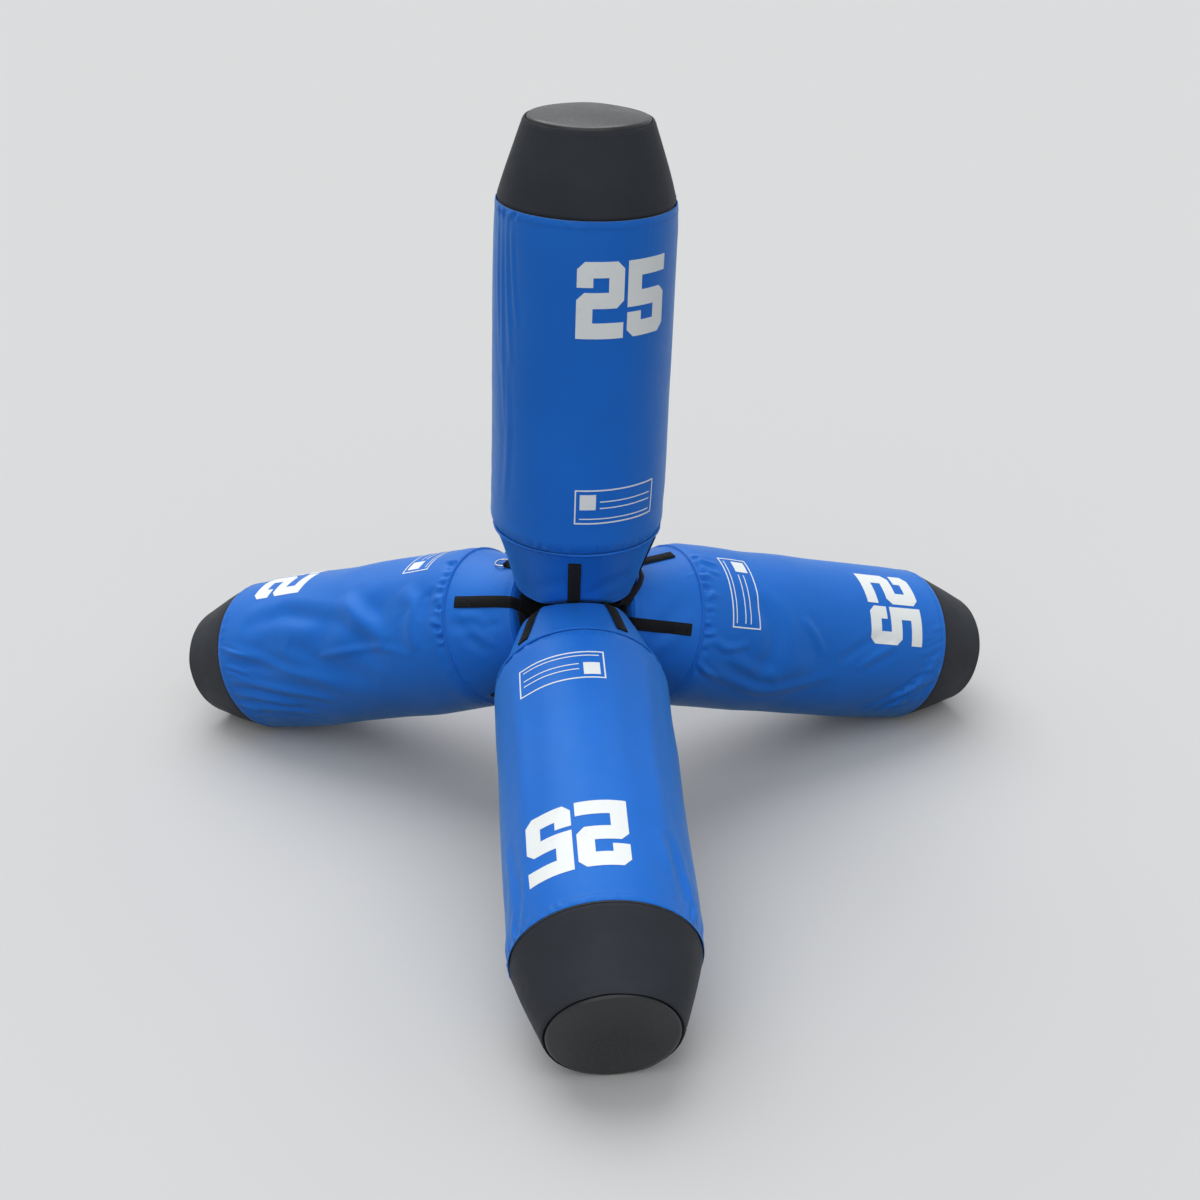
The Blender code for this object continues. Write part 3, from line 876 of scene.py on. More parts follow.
def cloth_finish(name, colour, roughness=0.40):
    """Coated nylon: a fine weave under a soft shine, with faint clouds and a little dust."""
    finish = Finish(name, colour, roughness)
    finish.set(IOR=1.42, Specular_Tint=(0.45, 0.95, 1.0, 1.0), Sheen_Weight=0.12,
               Sheen_Roughness=0.50, Sheen_Tint=(0.25, 0.95, 1.0, 1.0))
    clouds = finish.ramp(finish.noise(5.0, 3.0, 0.55), 0.30, 0.70)
    tone = finish.mix(clouds, shaded(colour, 0.95), shaded(colour, 1.05))
    specks = finish.ramp(finish.noise(210.0, 2.0, 0.6), 0.64, 0.82, 0.0, 0.05)
    tone = finish.mix(specks, tone, (0.10, 0.26, 0.72, 1.0))
    wear = finish.node("ShaderNodeAttribute", attribute_name="wear", output=2)
    patches = finish.ramp(finish.noise(38.0, 4.0, 0.65), 0.40, 0.75)
    dust = finish.math(finish.math(wear, patches), 0.12)
    finish.set(Base_Color=finish.mix(dust, tone, (0.160, 0.200, 0.280, 1.0)))
    finish.set(Roughness=finish.ramp(finish.noise(24.0, 3.0, 0.6), 0.25, 0.75, roughness - 0.04,
                                     roughness + 0.05))
    weave = finish.bump(weave_heights(finish, 0.0011), 0.00008, 0.45)
    crinkle = finish.bump(finish.noise(95.0, 3.0, 0.55), 0.0011, 0.08, weave)
    finish.set(Normal=finish.bump(finish.noise(21.0), 0.0035, 0.10, crinkle))
    return finish.material


def vinyl_finish(name, colour, ior, gloss):
    """Black vinyl with a fine grain, dulled by handling."""
    finish = Finish(name, colour, 0.38)
    finish.set(IOR=ior)
    clouds = finish.ramp(finish.noise(9.0, 3.0, 0.6), 0.3, 0.7)
    tone = finish.mix(clouds, shaded(colour, 0.90), shaded(colour, 1.12))
    scuffs = finish.ramp(finish.noise(60.0, 5.0, 0.7, stretch=(1.0, 1.0, 0.30)), 0.62, 0.84, 0.0, 0.22)
    wear = finish.node("ShaderNodeAttribute", attribute_name="wear", output=2)
    dust = finish.math(scuffs, finish.ramp(wear, 0.0, 1.0, 0.30, 1.0))
    finish.set(Base_Color=finish.mix(dust, tone, (0.070, 0.073, 0.080, 1.0)))
    finish.set(Roughness=finish.ramp(finish.noise(42.0, 3.0, 0.6), 0.25, 0.75, 0.50 - gloss,
                                     0.60 - gloss))
    grain = finish.node("ShaderNodeTexVoronoi", {"Vector": finish.place, "Scale": 620.0},
                        feature="F1")
    leather = finish.bump(grain, 0.00018, 0.40)
    finish.set(Normal=finish.bump(finish.noise(30.0, 3.0, 0.5), 0.0018, 0.14, leather))
    return finish.material


def webbing_finish(name, colour):
    finish = Finish(name, colour, 0.78)
    finish.set(Specular_IOR_Level=0.22, Sheen_Weight=0.05, Sheen_Roughness=0.5)
    fuzz = finish.ramp(finish.noise(900.0, 2.0, 0.6), 0.35, 0.75)
    finish.set(Base_Color=finish.mix(fuzz, shaded(colour, 0.7), shaded(colour, 1.9)))
    twill = finish.node("ShaderNodeTexWave", {"Vector": finish.place, "Scale": 420.0,
                                              "Distortion": 1.5}, output=1,
                        bands_direction="DIAGONAL")
    finish.set(Normal=finish.bump(twill, 0.00025, 0.5))
    return finish.material


def thread_finish(name, colour):
    finish = Finish(name, colour, 0.60)
    finish.set(Sheen_Weight=0.15)
    twist = finish.node("ShaderNodeTexWave", {"Vector": finish.place, "Scale": 900.0}, output=1)
    # Colour follows the twist's relief: painted shade in its grooves and painted highlight on its
    # raised strands
    finish.set(Base_Color=finish.mix(twist, shaded(colour, 0.75), shaded(colour, 1.2)))
    finish.set(Normal=finish.bump(twist, 0.0001, 0.4))
    return finish.material


def print_finish(name, colour):
    """White ink that takes the weave, a little rubbed."""
    finish = Finish(name, colour, 0.48)
    finish.set(Specular_IOR_Level=0.35)
    rubbed = finish.ramp(finish.noise(46.0, 5.0, 0.65), 0.58, 0.85, 0.0, 0.30)
    finish.set(Base_Color=finish.mix(rubbed, shaded(colour), (0.52, 0.60, 0.68, 1.0)))
    weave = finish.bump(finish.noise(700.0), 0.00012, 0.35)
    finish.set(Normal=finish.bump(finish.noise(95.0, 3.0, 0.55), 0.0008, 0.10, weave))
    return finish.material


def foam_finish(name, colour):
    finish = Finish(name, colour, 0.95)
    cells = finish.node("ShaderNodeTexVoronoi", {"Vector": finish.place, "Scale": 380.0})
    # Pores painted darker and cell walls lighter: painted shade in the hollows of the foam, on the
    # cells that the bump also shapes
    pore_shade = finish.ramp(cells, 0.1, 0.6)
    finish.set(Base_Color=finish.mix(pore_shade, shaded(colour, 0.8), shaded(colour, 1.1)))
    finish.set(Normal=finish.bump(cells, 0.0006, 0.7))
    return finish.material


def steel_finish(name, colour):
    finish = Finish(name, colour, 0.24, 1.0)
    marks = finish.noise(340.0, 4.0, 0.7)
    stains = finish.ramp(marks, 0.45, 0.80)
    finish.set(Base_Color=finish.mix(stains, shaded(colour), shaded(colour, 0.62)))
    finish.set(Roughness=finish.ramp(marks, 0.3, 0.8, 0.18, 0.40))
    finish.set(Normal=finish.bump(finish.noise(1500.0), 0.00004, 0.3))
    return finish.material


MATERIALS = {}


def material(name):
    """Make each finish once, from the colours in the settings."""
    covers = bpy.context.scene.bag_covers
    trim = bpy.context.scene.bag_trim
    cloth = tuple(covers.cloth_colour)
    vinyl = tuple(covers.vinyl_colour)
    makers = {
        "blue_cloth": (cloth_finish, cloth),
        "blue_thread": (thread_finish, darker(cloth, 0.72)),
        "black_vinyl": (vinyl_finish, vinyl, 1.18, 0.04),
        "smooth_vinyl": (vinyl_finish, darker(vinyl, 0.4), 1.52, 0.26),
        "black_thread": (thread_finish, (0.016, 0.016, 0.018)),
        "black_webbing": (webbing_finish, tuple(trim.webbing_colour)),
        "white_print": (print_finish, tuple(trim.print_colour)),
        "grey_foam": (foam_finish, tuple(covers.foam_colour)),
        "plated_steel": (steel_finish, tuple(trim.steel_colour)),
    }
    if name not in MATERIALS:
        maker, *details = makers[name]
        MATERIALS[name] = maker(name, *details)
    return MATERIALS[name]


def mark_wear(piece, seams):
    """Mark where a cover picks up dust: by its seams and low down by the floor."""
    count = len(piece.data.vertices)
    places = np.empty(count * 3)
    piece.data.vertices.foreach_get("co", places)
    places = places.reshape(-1, 3)
    low = np.exp(-places[:, 2] / 0.035)
    arm = ARMS[piece.name.split("_")[0]]
    stations = (places - arm.hub) @ arm.turn[:, 2]
    near = np.max([np.exp(-np.abs(stations - seam) / 0.006) for seam in seams], axis=0)
    wear = piece.data.attributes.new("wear", "FLOAT", "POINT")
    wear.data.foreach_set("value", np.clip(low + 0.45 * near, 0.0, 1.0).astype(np.float32))


# Repeated forms along a path

def repeat_tree(name, sizes, is_rib):
    """Put a rib or a stitch at every pitch along a path whose points say which way is off it."""
    tree = bpy.data.node_groups.new(name, "GeometryNodeTree")
    tree.interface.new_socket("Path", in_out="INPUT", socket_type="NodeSocketGeometry")
    for label in sizes:
        tree.interface.new_socket(label, in_out="INPUT", socket_type="NodeSocketFloat")
    tree.interface.new_socket("Finish", in_out="INPUT", socket_type="NodeSocketMaterial")
    tree.interface.new_socket("Pieces", in_out="OUTPUT", socket_type="NodeSocketGeometry")

    def node(kind, inputs=(), **settings):
        return add_node(tree, kind, inputs, **settings)

    given = node("NodeGroupInput")
    curve = node("GeometryNodeMeshToCurve", {"Mesh": given["Path"]})["Curve"]
    spaced = node("GeometryNodeResampleCurve", {"Curve": curve, "Length": given["Pitch"]},
                  mode="LENGTH")["Curve"]
    off = node("GeometryNodeInputNamedAttribute", {"Name": "off"}, data_type="FLOAT_VECTOR")
    tangent = node("GeometryNodeInputTangent")["Tangent"]
    upright = node("FunctionNodeAlignRotationToVector", {"Vector": off["Attribute"]},
                   axis="Z")["Rotation"]
    turned = node("FunctionNodeAlignRotationToVector",
                  {"Rotation": upright, "Vector": tangent}, axis="X", pivot_axis="Z")["Rotation"]
    if is_rib:
        bar = node("GeometryNodeMeshCylinder", {"Vertices": 8, "Radius": 0.5, "Depth": 1.0})
        form = node("GeometryNodeTransform",
                    {"Geometry": bar["Mesh"], "Rotation": (math.pi / 2, 0.0, 0.0)})["Geometry"]
    else:
        form = node("GeometryNodeMeshUVSphere", {"Segments": 7, "Rings": 5, "Radius": 0.5})["Mesh"]
    size = node("ShaderNodeCombineXYZ",
                {"X": given["Length"], "Y": given["Width"], "Z": given["Height"]})["Vector"]
    change = node("FunctionNodeRandomValue", {"Min": (0.90, 0.92, 0.88), "Max": (1.06, 1.0, 1.10),
                                              "Seed": 7}, data_type="FLOAT_VECTOR")["Value"]
    varied = node("ShaderNodeVectorMath", {0: size, 1: change}, operation="MULTIPLY")["Vector"]
    placed = node("GeometryNodeInstanceOnPoints",
                  {"Points": spaced, "Instance": form, "Rotation": turned, "Scale": varied})
    real = node("GeometryNodeRealizeInstances", {"Geometry": placed["Instances"]})["Geometry"]
    smooth = node("GeometryNodeSetShadeSmooth", {"Geometry": real})["Geometry"]
    finished = node("GeometryNodeSetMaterial",
                    {"Geometry": smooth, "Material": given["Finish"]})["Geometry"]
    node("NodeGroupOutput", {"Pieces": finished})
    return tree


TREES = {}


def repeated(name, paths, sizes, finish_name, is_rib=False):
    """Run the tree over paths of (points, directions off the surface, closed), as one piece."""
    points = []
    offs = []
    edges = []
    for path, off, closed in paths:
        start = len(points)
        points += np.asarray(path).tolist()
        offs += np.asarray(off).tolist()
        edges += [(start + step, start + step + 1) for step in range(len(path) - 1)]
        if closed:
            edges.append((start + len(path) - 1, start))
    mesh = bpy.data.meshes.new(name + "_path")
    mesh.from_pydata(points, edges, [])
    layer = mesh.attributes.new("off", "FLOAT_VECTOR", "POINT")
    layer.data.foreach_set("vector", np.asarray(offs, np.float32).ravel())
    holder = linked(name + "_path", mesh)
    kind = "ribs" if is_rib else "stitches"
    if kind not in TREES:
        TREES[kind] = repeat_tree(kind, ("Pitch", "Length", "Width", "Height"), is_rib)
    tree = TREES[kind]
    modifier = holder.modifiers.new(kind, "NODES")
    modifier.node_group = tree
    for item in tree.interface.items_tree:
        if item.name in sizes:
            modifier[item.identifier] = sizes[item.name]
        elif item.name == "Finish":
            modifier[item.identifier] = material(finish_name)
    bpy.context.view_layer.update()
    evaluated = holder.evaluated_get(bpy.context.evaluated_depsgraph_get())
    made = bpy.data.meshes.new_from_object(evaluated)
    made.name = name
    holder.modifiers.clear()
    bpy.data.objects.remove(holder)
    bpy.data.meshes.remove(mesh)
    return add_piece(made, finish_name)


def rib_sizes():
    trim = bpy.context.scene.bag_trim
    return {"Pitch": trim.rib_pitch, "Length": trim.rib_pitch * 0.74,
            "Width": STRAP_WIDTH * RIB_WIDTH_SHARE, "Height": trim.rib_height * 2}


def stitch_sizes():
    trim = bpy.context.scene.bag_trim
    return {"Pitch": trim.stitch_pitch, "Length": trim.stitch_length,
            "Width": trim.thread_thickness, "Height": trim.thread_thickness * 0.9}


# Loose cloth of the sleeves

def cloth_grid(radius, stations, columns, twist=0.0):
    """A tube's points, turned more and more along it by a twist in degrees."""
    share = (stations - stations[0]) / (stations[-1] - stations[0]) - 0.5
    angles = even_angles(columns) + math.radians(twist) * share[:, None]
    return round_points(radius[:, None], angles, stations[:, None])


def open_tube(name, points):
    """A plain tube for the cloth simulation, without ends."""
    mesh = bpy.data.meshes.new(name)
    mesh.from_pydata(points.reshape(-1, 3).tolist(), [], tube_faces(*points.shape[:2]))
    return linked(name, mesh)


def cloth_rest():
    """Stations and radii of the simulated cloth's rows, from seam to seam."""
    section = sleeve_section()
    section = section[np.argsort(section[:, 0], kind="stable")]
    stations = np.linspace(BASE_SEAM_STATION + 0.0012, TIP_SEAM_STATION - 0.0010, CLOTH_ROWS)
    return stations, np.interp(stations, section[:, 0], section[:, 1])


def hang_cloth(arm, covers):
    """A sleeve cut with some slack and a little twist, pinned at its seams round a firm core."""
    stations, radius = cloth_rest()
    slack = CLOTH_SLACK_SHARES[arm.name]
    random = np.random.default_rng(sum(map(ord, arm.name)))
    start = cloth_grid(radius, stations, CLOTH_COLUMNS)
    nudge = random.uniform(-0.0004, 0.0010, start.shape[:2])
    nudge[(0, -1), :] = 0.0
    start[..., :2] *= 1.0 + nudge[..., None] / ARM_RADIUS
    cloth = open_tube(arm.name + "_loose_cloth", arm.world(start))
    cut = cloth_grid(radius * (1.0 + slack * covers.slack_around), stations, CLOTH_COLUMNS,
                     CLOTH_TWISTS[arm.name])
    middle = stations.mean()
    cut[..., 2] = middle + (cut[..., 2] - middle) * (1.0 + slack * covers.slack_along)
    cloth.shape_key_add(name="Basis")
    key = cloth.shape_key_add(name="cut")
    key.data.foreach_set("co", arm.world(cut).reshape(-1).astype(np.float32))
    sewn = cloth.vertex_groups.new(name="sewn")
    total = CLOTH_ROWS * CLOTH_COLUMNS
    ends = [*range(CLOTH_COLUMNS), *range(total - CLOTH_COLUMNS, total)]
    sewn.add(ends, 1.0, "REPLACE")
    modifier = cloth.modifiers.new("cloth", "CLOTH")
    set_all(modifier.settings, rest_shape_key=key, vertex_group_mass="sewn", **CLOTH_MAKE)
    set_all(modifier.collision_settings, distance_min=0.001, use_self_collision=False)
    set_all(modifier.point_cache, frame_start=1, frame_end=covers.settle_frames)
    firm = cloth_grid(radius - CORE_SINK, stations, CORE_COLUMNS)
    core = open_tube(arm.name + "_firm_core", arm.world(firm))
    core.modifiers.new("collision", "COLLISION")
    set_all(core.collision, thickness_outer=0.001, thickness_inner=0.020, cloth_friction=8.0)
    return cloth, core


def settled_shifts(covers):
    """How far each point of each sleeve moved while its cloth settled, in its arm's frame."""
    scene = bpy.context.scene
    hung = {name: hang_cloth(arm, covers) for name, arm in ARMS.items()}
    for number in range(1, covers.settle_frames + 1):
        scene.frame_set(number)
    stations, radius = cloth_rest()
    nominal = cloth_grid(radius, stations, CLOTH_COLUMNS)
    shifts = {}
    for name, (cloth, _) in hung.items():
        arm = ARMS[name]
        evaluated = cloth.evaluated_get(bpy.context.evaluated_depsgraph_get())
        places = np.empty(CLOTH_ROWS * CLOTH_COLUMNS * 3)
        evaluated.data.vertices.foreach_get("co", places)
        local = (places.reshape(-1, 3) - arm.hub) @ arm.turn
        shifts[name] = evened(local.reshape(nominal.shape) - nominal, CLOTH_EVENING)
    for cloth, core in hung.values():
        for holder in (cloth, core):
            mesh = holder.data
            bpy.data.objects.remove(holder)
            bpy.data.meshes.remove(mesh)
    scene.frame_set(1)
    return shifts


def evened(grid, rounds):
    """Even out a grid of moves, round the arm and along it."""
    for _ in range(rounds):
        grid = (np.roll(grid, 1, axis=1) + 2.0 * grid + np.roll(grid, -1, axis=1)) / 4.0
        grid[1:-1] = (grid[:-2] + 2.0 * grid[1:-1] + grid[2:]) / 4.0
    return grid


def capped(shift, covers):
    """Keep loose cloth between the foam that it sinks into and the room that it has."""
    outward = round_points(1.0, even_angles(shift.shape[1]), 0.0)
    rise = (shift * outward).sum(axis=-1)
    along = shift - rise[..., None] * outward
    most = np.where(rise > 0.0, covers.most_rise, covers.most_sink)
    rise = most * np.tanh(rise / most)
    along = MOST_CREEP * np.tanh(along / MOST_CREEP)
    return along + rise[..., None] * outward


def on_sleeve_grid(shift, section):
    """Bring the simulated cloth's moves to the finer grid of the finished sleeve."""
    stations, _ = cloth_rest()
    rows = np.interp(section[:, 0], stations, np.arange(CLOTH_ROWS, dtype=float))
    columns = np.arange(COLUMNS) / COLUMNS * CLOTH_COLUMNS
    finer_rows = finer(shift, rows, False)
    return finer(finer_rows.transpose(1, 0, 2), columns, True).transpose(1, 0, 2)


# Relief of each arm's sleeve

def toward(degrees, least):
    """A strength that is greatest on one side of an arm."""
    middle = math.radians(degrees)
    return lambda angle: least + (1.0 - least) * (0.5 + 0.5 * math.cos(angle - middle)) ** 1.5


def top_relief(relief):
    relief.unevenness(0.0006, 0.110)
    relief.gathers(BASE_SEAM, 40, 0.0012, 0.0060)
    relief.gathers(TIP_SEAM, 40, 0.0008, 0.0060, toward(-66.0, 0.15))
    relief.puckers(TIP_SEAM, (-49.8, -57.0, -61.0, -68.0, -75.0), 0.0022, 0.0075)
    relief.puckers(BASE_SEAM, (-38.0, -31.0, -24.0, -10.0, 3.0, 30.0), 0.0016, 0.0065)
    for degrees, start, end in ((-61.0, 0.746, 0.499), (-67.0, 0.738, 0.380),
                                (-73.0, 0.742, 0.470), (-55.0, 0.735, 0.560)):
        middle = ((start + end) / 2, degrees + 2.0)
        relief.crease(((start, degrees), middle, (end, degrees + 7.0)), 0.0048, 0.0015)
    relief.crease(((0.500, -60.0), (0.380, -56.0), (0.250, -60.0)), 0.0070, 0.0012)
    relief.dents(((0.440, -20.0), 0.090, 0.060, -0.0014), ((0.300, 40.0), 0.080, 0.060, 0.0010))


def front_relief(relief):
    relief.unevenness(0.0008, 0.090)
    relief.gathers(BASE_SEAM, 44, 0.0011, 0.0055)
    relief.gathers(TIP_SEAM, 44, 0.0010, 0.0060, toward(75.0, 0.20))
    relief.puckers(BASE_SEAM, (-58.0, -46.0, -22.0, -4.0, 16.0, 38.0, 49.0, 61.0), 0.0017, 0.0060)
    for degrees, length, lean in ((74.8, 0.022, 0.3), (66.5, 0.016, 0.1), (84.0, 0.024, 0.4),
                                  (-54.3, 0.018, -0.2), (-59.7, 0.024, -0.3), (-66.9, 0.018, -0.3),
                                  (-76.0, 0.024, -0.4)):
        relief.pleat(TIP_SEAM, degrees, 0.0042, length, 0.0024, lean)
    relief.creases(
        (((0.600, -43.0), (0.650, -49.0), (0.722, -53.5)), 0.0105, -0.0044),
        (((0.660, -58.0), (0.710, -62.0), (0.748, -62.0)), 0.0080, 0.0036),
        (((0.640, 56.0), (0.700, 58.0), (0.746, 64.0)), 0.0085, -0.0032),
        (((0.560, 70.0), (0.640, 66.0), (0.700, 70.0)), 0.0110, 0.0030),
        (((0.205, -46.0), (0.420, -41.0), (0.690, -43.0)), 0.0170, 0.0030, 0.25),
        (((0.205, 52.0), (0.420, 47.0), (0.690, 50.0)), 0.0170, 0.0030, 0.25))
    relief.dent((0.480, 2.0), 0.220, 0.070, 0.0012)


def left_relief(relief):
    relief.unevenness(0.0009, 0.075)
    relief.gathers(BASE_SEAM, 30, 0.0008, 0.0065, toward(-60.0, 0.30))
    relief.gathers(TIP_SEAM, 46, 0.0010, 0.0070, toward(-80.0, 0.30))
    relief.puckers(BASE_SEAM, (-14.0, -25.5, -31.0, -38.0, -46.5, -51.0, -57.5, -61.5, -66.0, -71.5,
                               -78.0), 0.0042, 0.0090)
    relief.creases(
        (((0.205, -38.0), (0.228, -47.0), (0.236, -60.0)), 0.0080, -0.0024, 0.3),
        (((0.484, -75.0), (0.471, -76.2), (0.391, -75.1), (0.332, -76.0), (0.251, -85.8)),
         0.0070, 0.0026, 0.30),
        (((0.470, -84.0), (0.390, -83.5), (0.320, -85.0)), 0.0190, -0.0034, 0.0),
        (((0.290, -36.0), (0.250, -50.0), (0.256, -66.0), (0.252, -82.0)), 0.0150, 0.0050, 0.40),
        (((0.440, -34.0), (0.404, -46.0), (0.352, -62.0), (0.318, -74.0)), 0.0170, 0.0060, 0.40),
        (((0.690, -50.0), (0.640, -44.0), (0.570, -44.0), (0.500, -52.0)), 0.0170, -0.0040, 0.35),
        (((0.610, -36.0), (0.510, -46.0), (0.400, -58.0)), 0.0160, -0.0046, 0.35),
        (((0.722, -63.6), (0.650, -72.0), (0.569, -84.5), (0.463, -99.0)), 0.0098, 0.0040),
        (((0.726, -86.1), (0.607, -98.3), (0.489, -114.1)), 0.0086, 0.0040),
        (((0.733, -98.4), (0.660, -105.0), (0.590, -115.7)), 0.0080, 0.0040),
        (((0.732, -109.3), (0.640, -117.0), (0.565, -127.1)), 0.0080, 0.0040),
        (((0.735, -72.0), (0.690, -76.0), (0.600, -79.0), (0.520, -88.0)), 0.0125, -0.0036, 0.35),
        (((0.560, -64.0), (0.520, -74.0), (0.440, -90.0), (0.360, -98.0)), 0.0200, -0.0050, 0.35))
    relief.sweeps(TIP_SEAM, -92.0, 34.0, 14, 0.0015, 0.070, -130.0)
    relief.dents(
        ((0.340, -46.0), 0.036, 0.036, -0.0070), ((0.226, -50.0), 0.022, 0.026, -0.0056),
        ((0.475, -63.3), 0.034, 0.030, -0.0072), ((0.378, -71.0), 0.030, 0.022, -0.0040),
        ((0.400, -58.0), 0.040, 0.026, 0.0020), ((0.560, -58.0), 0.050, 0.034, 0.0026))


def right_relief(relief):
    relief.unevenness(0.0009, 0.075)
    relief.gathers(BASE_SEAM, 30, 0.0008, 0.0065, toward(60.0, 0.35))
    relief.gathers(TIP_SEAM, 44, 0.0009, 0.0065, toward(90.0, 0.30))
    relief.puckers(BASE_SEAM, (12.0, 18.5, 33.0, 38.5, 46.0, 50.5, 57.0, 63.5, 68.0, 76.0, 84.0),
                   0.0038, 0.0095)
    relief.creases(
        (((0.196, 15.0), (0.212, 19.0), (0.236, 21.0)), 0.0050, 0.0028),
        (((0.196, 24.0), (0.214, 29.0), (0.232, 30.0)), 0.0044, 0.0024),
        (((0.290, 48.0), (0.330, 62.0), (0.345, 82.0), (0.330, 104.0)), 0.0180, -0.0056, 0.45),
        (((0.204, 78.0), (0.240, 84.0), (0.290, 80.0)), 0.0075, 0.0034),
        (((0.250, 88.0), (0.300, 98.0), (0.380, 104.0)), 0.0120, 0.0034),
        (((0.402, 58.0), (0.430, 68.0), (0.463, 83.5)), 0.0080, 0.0034, 0.35),
        (((0.545, 92.0), (0.585, 80.0), (0.630, 71.0)), 0.0080, 0.0034, 0.35),
        (((0.500, 88.0), (0.540, 76.0), (0.600, 64.0)), 0.0100, -0.0028, 0.30),
        (((0.742, 74.0), (0.722, 88.0), (0.695, 105.6), (0.621, 132.2)), 0.0068, 0.0040),
        (((0.749, 83.7), (0.710, 108.0), (0.658, 135.2)), 0.0068, 0.0040),
        (((0.732, 91.8), (0.700, 104.0), (0.653, 117.0)), 0.0068, 0.0040),
        (((0.190, 97.0), (0.210, 103.0), (0.238, 107.1)), 0.0055, 0.0036),
        (((0.200, 99.0), (0.290, 110.0), (0.370, 115.1), (0.505, 97.6)), 0.0110, 0.0036, 0.35))
    relief.dents(((0.408, 92.0), 0.028, 0.026, 0.0034), ((0.440, 84.0), 0.050, 0.036, -0.0040))
    relief.sweeps(TIP_SEAM, 84.0, 30.0, 10, 0.0012, 0.060, 160.0)


SLEEVE_RELIEFS = {
    "top": top_relief, "front": front_relief, "left": left_relief, "right": right_relief,
}


def sleeve_skin(arm, shift):
    section = sleeve_section()
    relief = Relief(section, SLEEVE_SEED + len(arm.name))
    SLEEVE_RELIEFS[arm.name](relief)
    relief.ridge(TIP_SEAM_STATION - 0.006, 0.0058, 0.0006)
    relief.hold(BASE_SEAM_STATION, TIP_SEAM_STATION, 0.006)
    shifts = None if shift is None else on_sleeve_grid(shift, section)
    return Skin(arm, section, heights=relief.height, shifts=shifts)


BASE_FOLDS = {
    "left": ((((0.158, -62.0), (0.128, -62.0), (0.104, -70.0)), 0.0090, 0.0022),
             (((0.165, -76.0), (0.132, -76.0), (0.098, -88.0)), 0.0090, 0.0020),
             (((0.176, -66.0), (0.150, -72.0), (0.118, -92.0)), 0.0100, -0.0024),
             (((0.072, -64.0), (0.090, -70.0), (0.110, -68.0)), 0.0080, -0.0020)),
    "right": ((((0.160, 54.0), (0.128, 66.0), (0.096, 84.0)), 0.0130, -0.0018),
              (((0.150, 78.0), (0.118, 92.0), (0.092, 104.0)), 0.0110, 0.0016)),
    "top": ((((0.092, -34.0), (0.114, -24.0), (0.120, -6.0)), 0.0120, -0.0012),
            (((0.088, 10.0), (0.112, 24.0), (0.126, 42.0)), 0.0120, -0.0012)),
    "front": ((((0.150, -40.0), (0.120, -48.0), (0.090, -50.0)), 0.0110, -0.0016),),
}


def base_skin(arm):
    section = base_section()
    relief = Relief(section, BASE_SEED + len(arm.name))
    cone = np.clip((relief.station - BASE_STATION - RIM_ROUND) / 0.030, 0.0, 1.0)
    relief.unevenness(0.0009, 0.080)
    relief.gathers((BASE_SEAM_STATION, -1), 26, 0.0006, 0.0060)
    relief.gathers((BASE_STATION + 0.008, 1), 18, 0.0008, 0.0100)
    relief.soft_spots(7, 0.0, (0.095, 0.165), 0.024, 0.032, (-0.0018, 0.0010))
    relief.creases(*BASE_FOLDS[arm.name])
    relief.height *= 0.25 + 0.75 * cone
    for number, degrees in enumerate(STRAP_ANGLES[arm.name], start=1):
        deep, long = STRAP_PULLS.get((arm.name, number), STRAP_PULL)
        relief.dent((BASE_STATION, degrees), long, 0.017, -deep)
    relief.ridge(BASE_SEAM_STATION - 0.0023, 0.0016, 0.0032)
    relief.ridge(BASE_STATION + PIPING_RISE, 0.0012, 0.0009)
    return Skin(arm, section, heights=relief.height)


def tip_cone_skin(arm):
    section = tip_cone_section()
    relief = Relief(section, TIP_CONE_SEED + len(arm.name))
    relief.unevenness(0.0004, 0.090)
    relief.gathers((TIP_SEAM_STATION, 1), 18, 0.0002, 0.012)
    relief.gathers((TIP_STATION - 0.004, -1), 20, 0.0002, 0.010)
    share = (relief.station - TIP_SEAM_STATION) / TIP_CONE_LENGTH
    relief.height += 0.0018 * np.sin(math.pi * np.clip(share, 0.0, 1.0) ** 0.7)
    relief.soft_spots(6, TIP_SEAM_STATION, (0.025, 0.110), 0.030, 0.040, (-0.0010, 0.0006))
    relief.hold(TIP_SEAM_STATION, TIP_STATION + 0.002, 0.006)
    rim = np.exp(-((relief.station - TIP_STATION - 0.0005) / 0.0030) ** 2)
    for turns, size in ((3, 0.0003), (5, 0.0003), (8, 0.0002), (13, 0.0002)):
        phase = relief.random.uniform(0.0, math.tau)
        relief.height += rim * size * (np.cos(turns * relief.angle + phase) - 1.0)
    return Skin(arm, section, heights=relief.height)


def tip_panel_skin(arm):
    section = tip_panel_section()
    relief = Relief(section, TIP_PANEL_SEED + len(arm.name))
    edge = section[:, 1].max()
    inside = np.clip(1.0 - relief.radius / edge, 0.0, 1.0)
    for turns, size in ((2, 0.0010), (3, 0.0008), (5, 0.0004)):
        phase = relief.random.uniform(0.0, math.tau)
        swell = np.cos(turns * relief.angle + phase) * (relief.radius / edge) ** 2
        relief.height += size * swell * np.clip(inside / 0.08, 0.0, 1.0)
    return Skin(arm, section, heights=relief.height)


def base_panel_skin(arm):
    return Skin(arm, base_panel_section(), 96)


# Ribbons: straps and the ring's tab

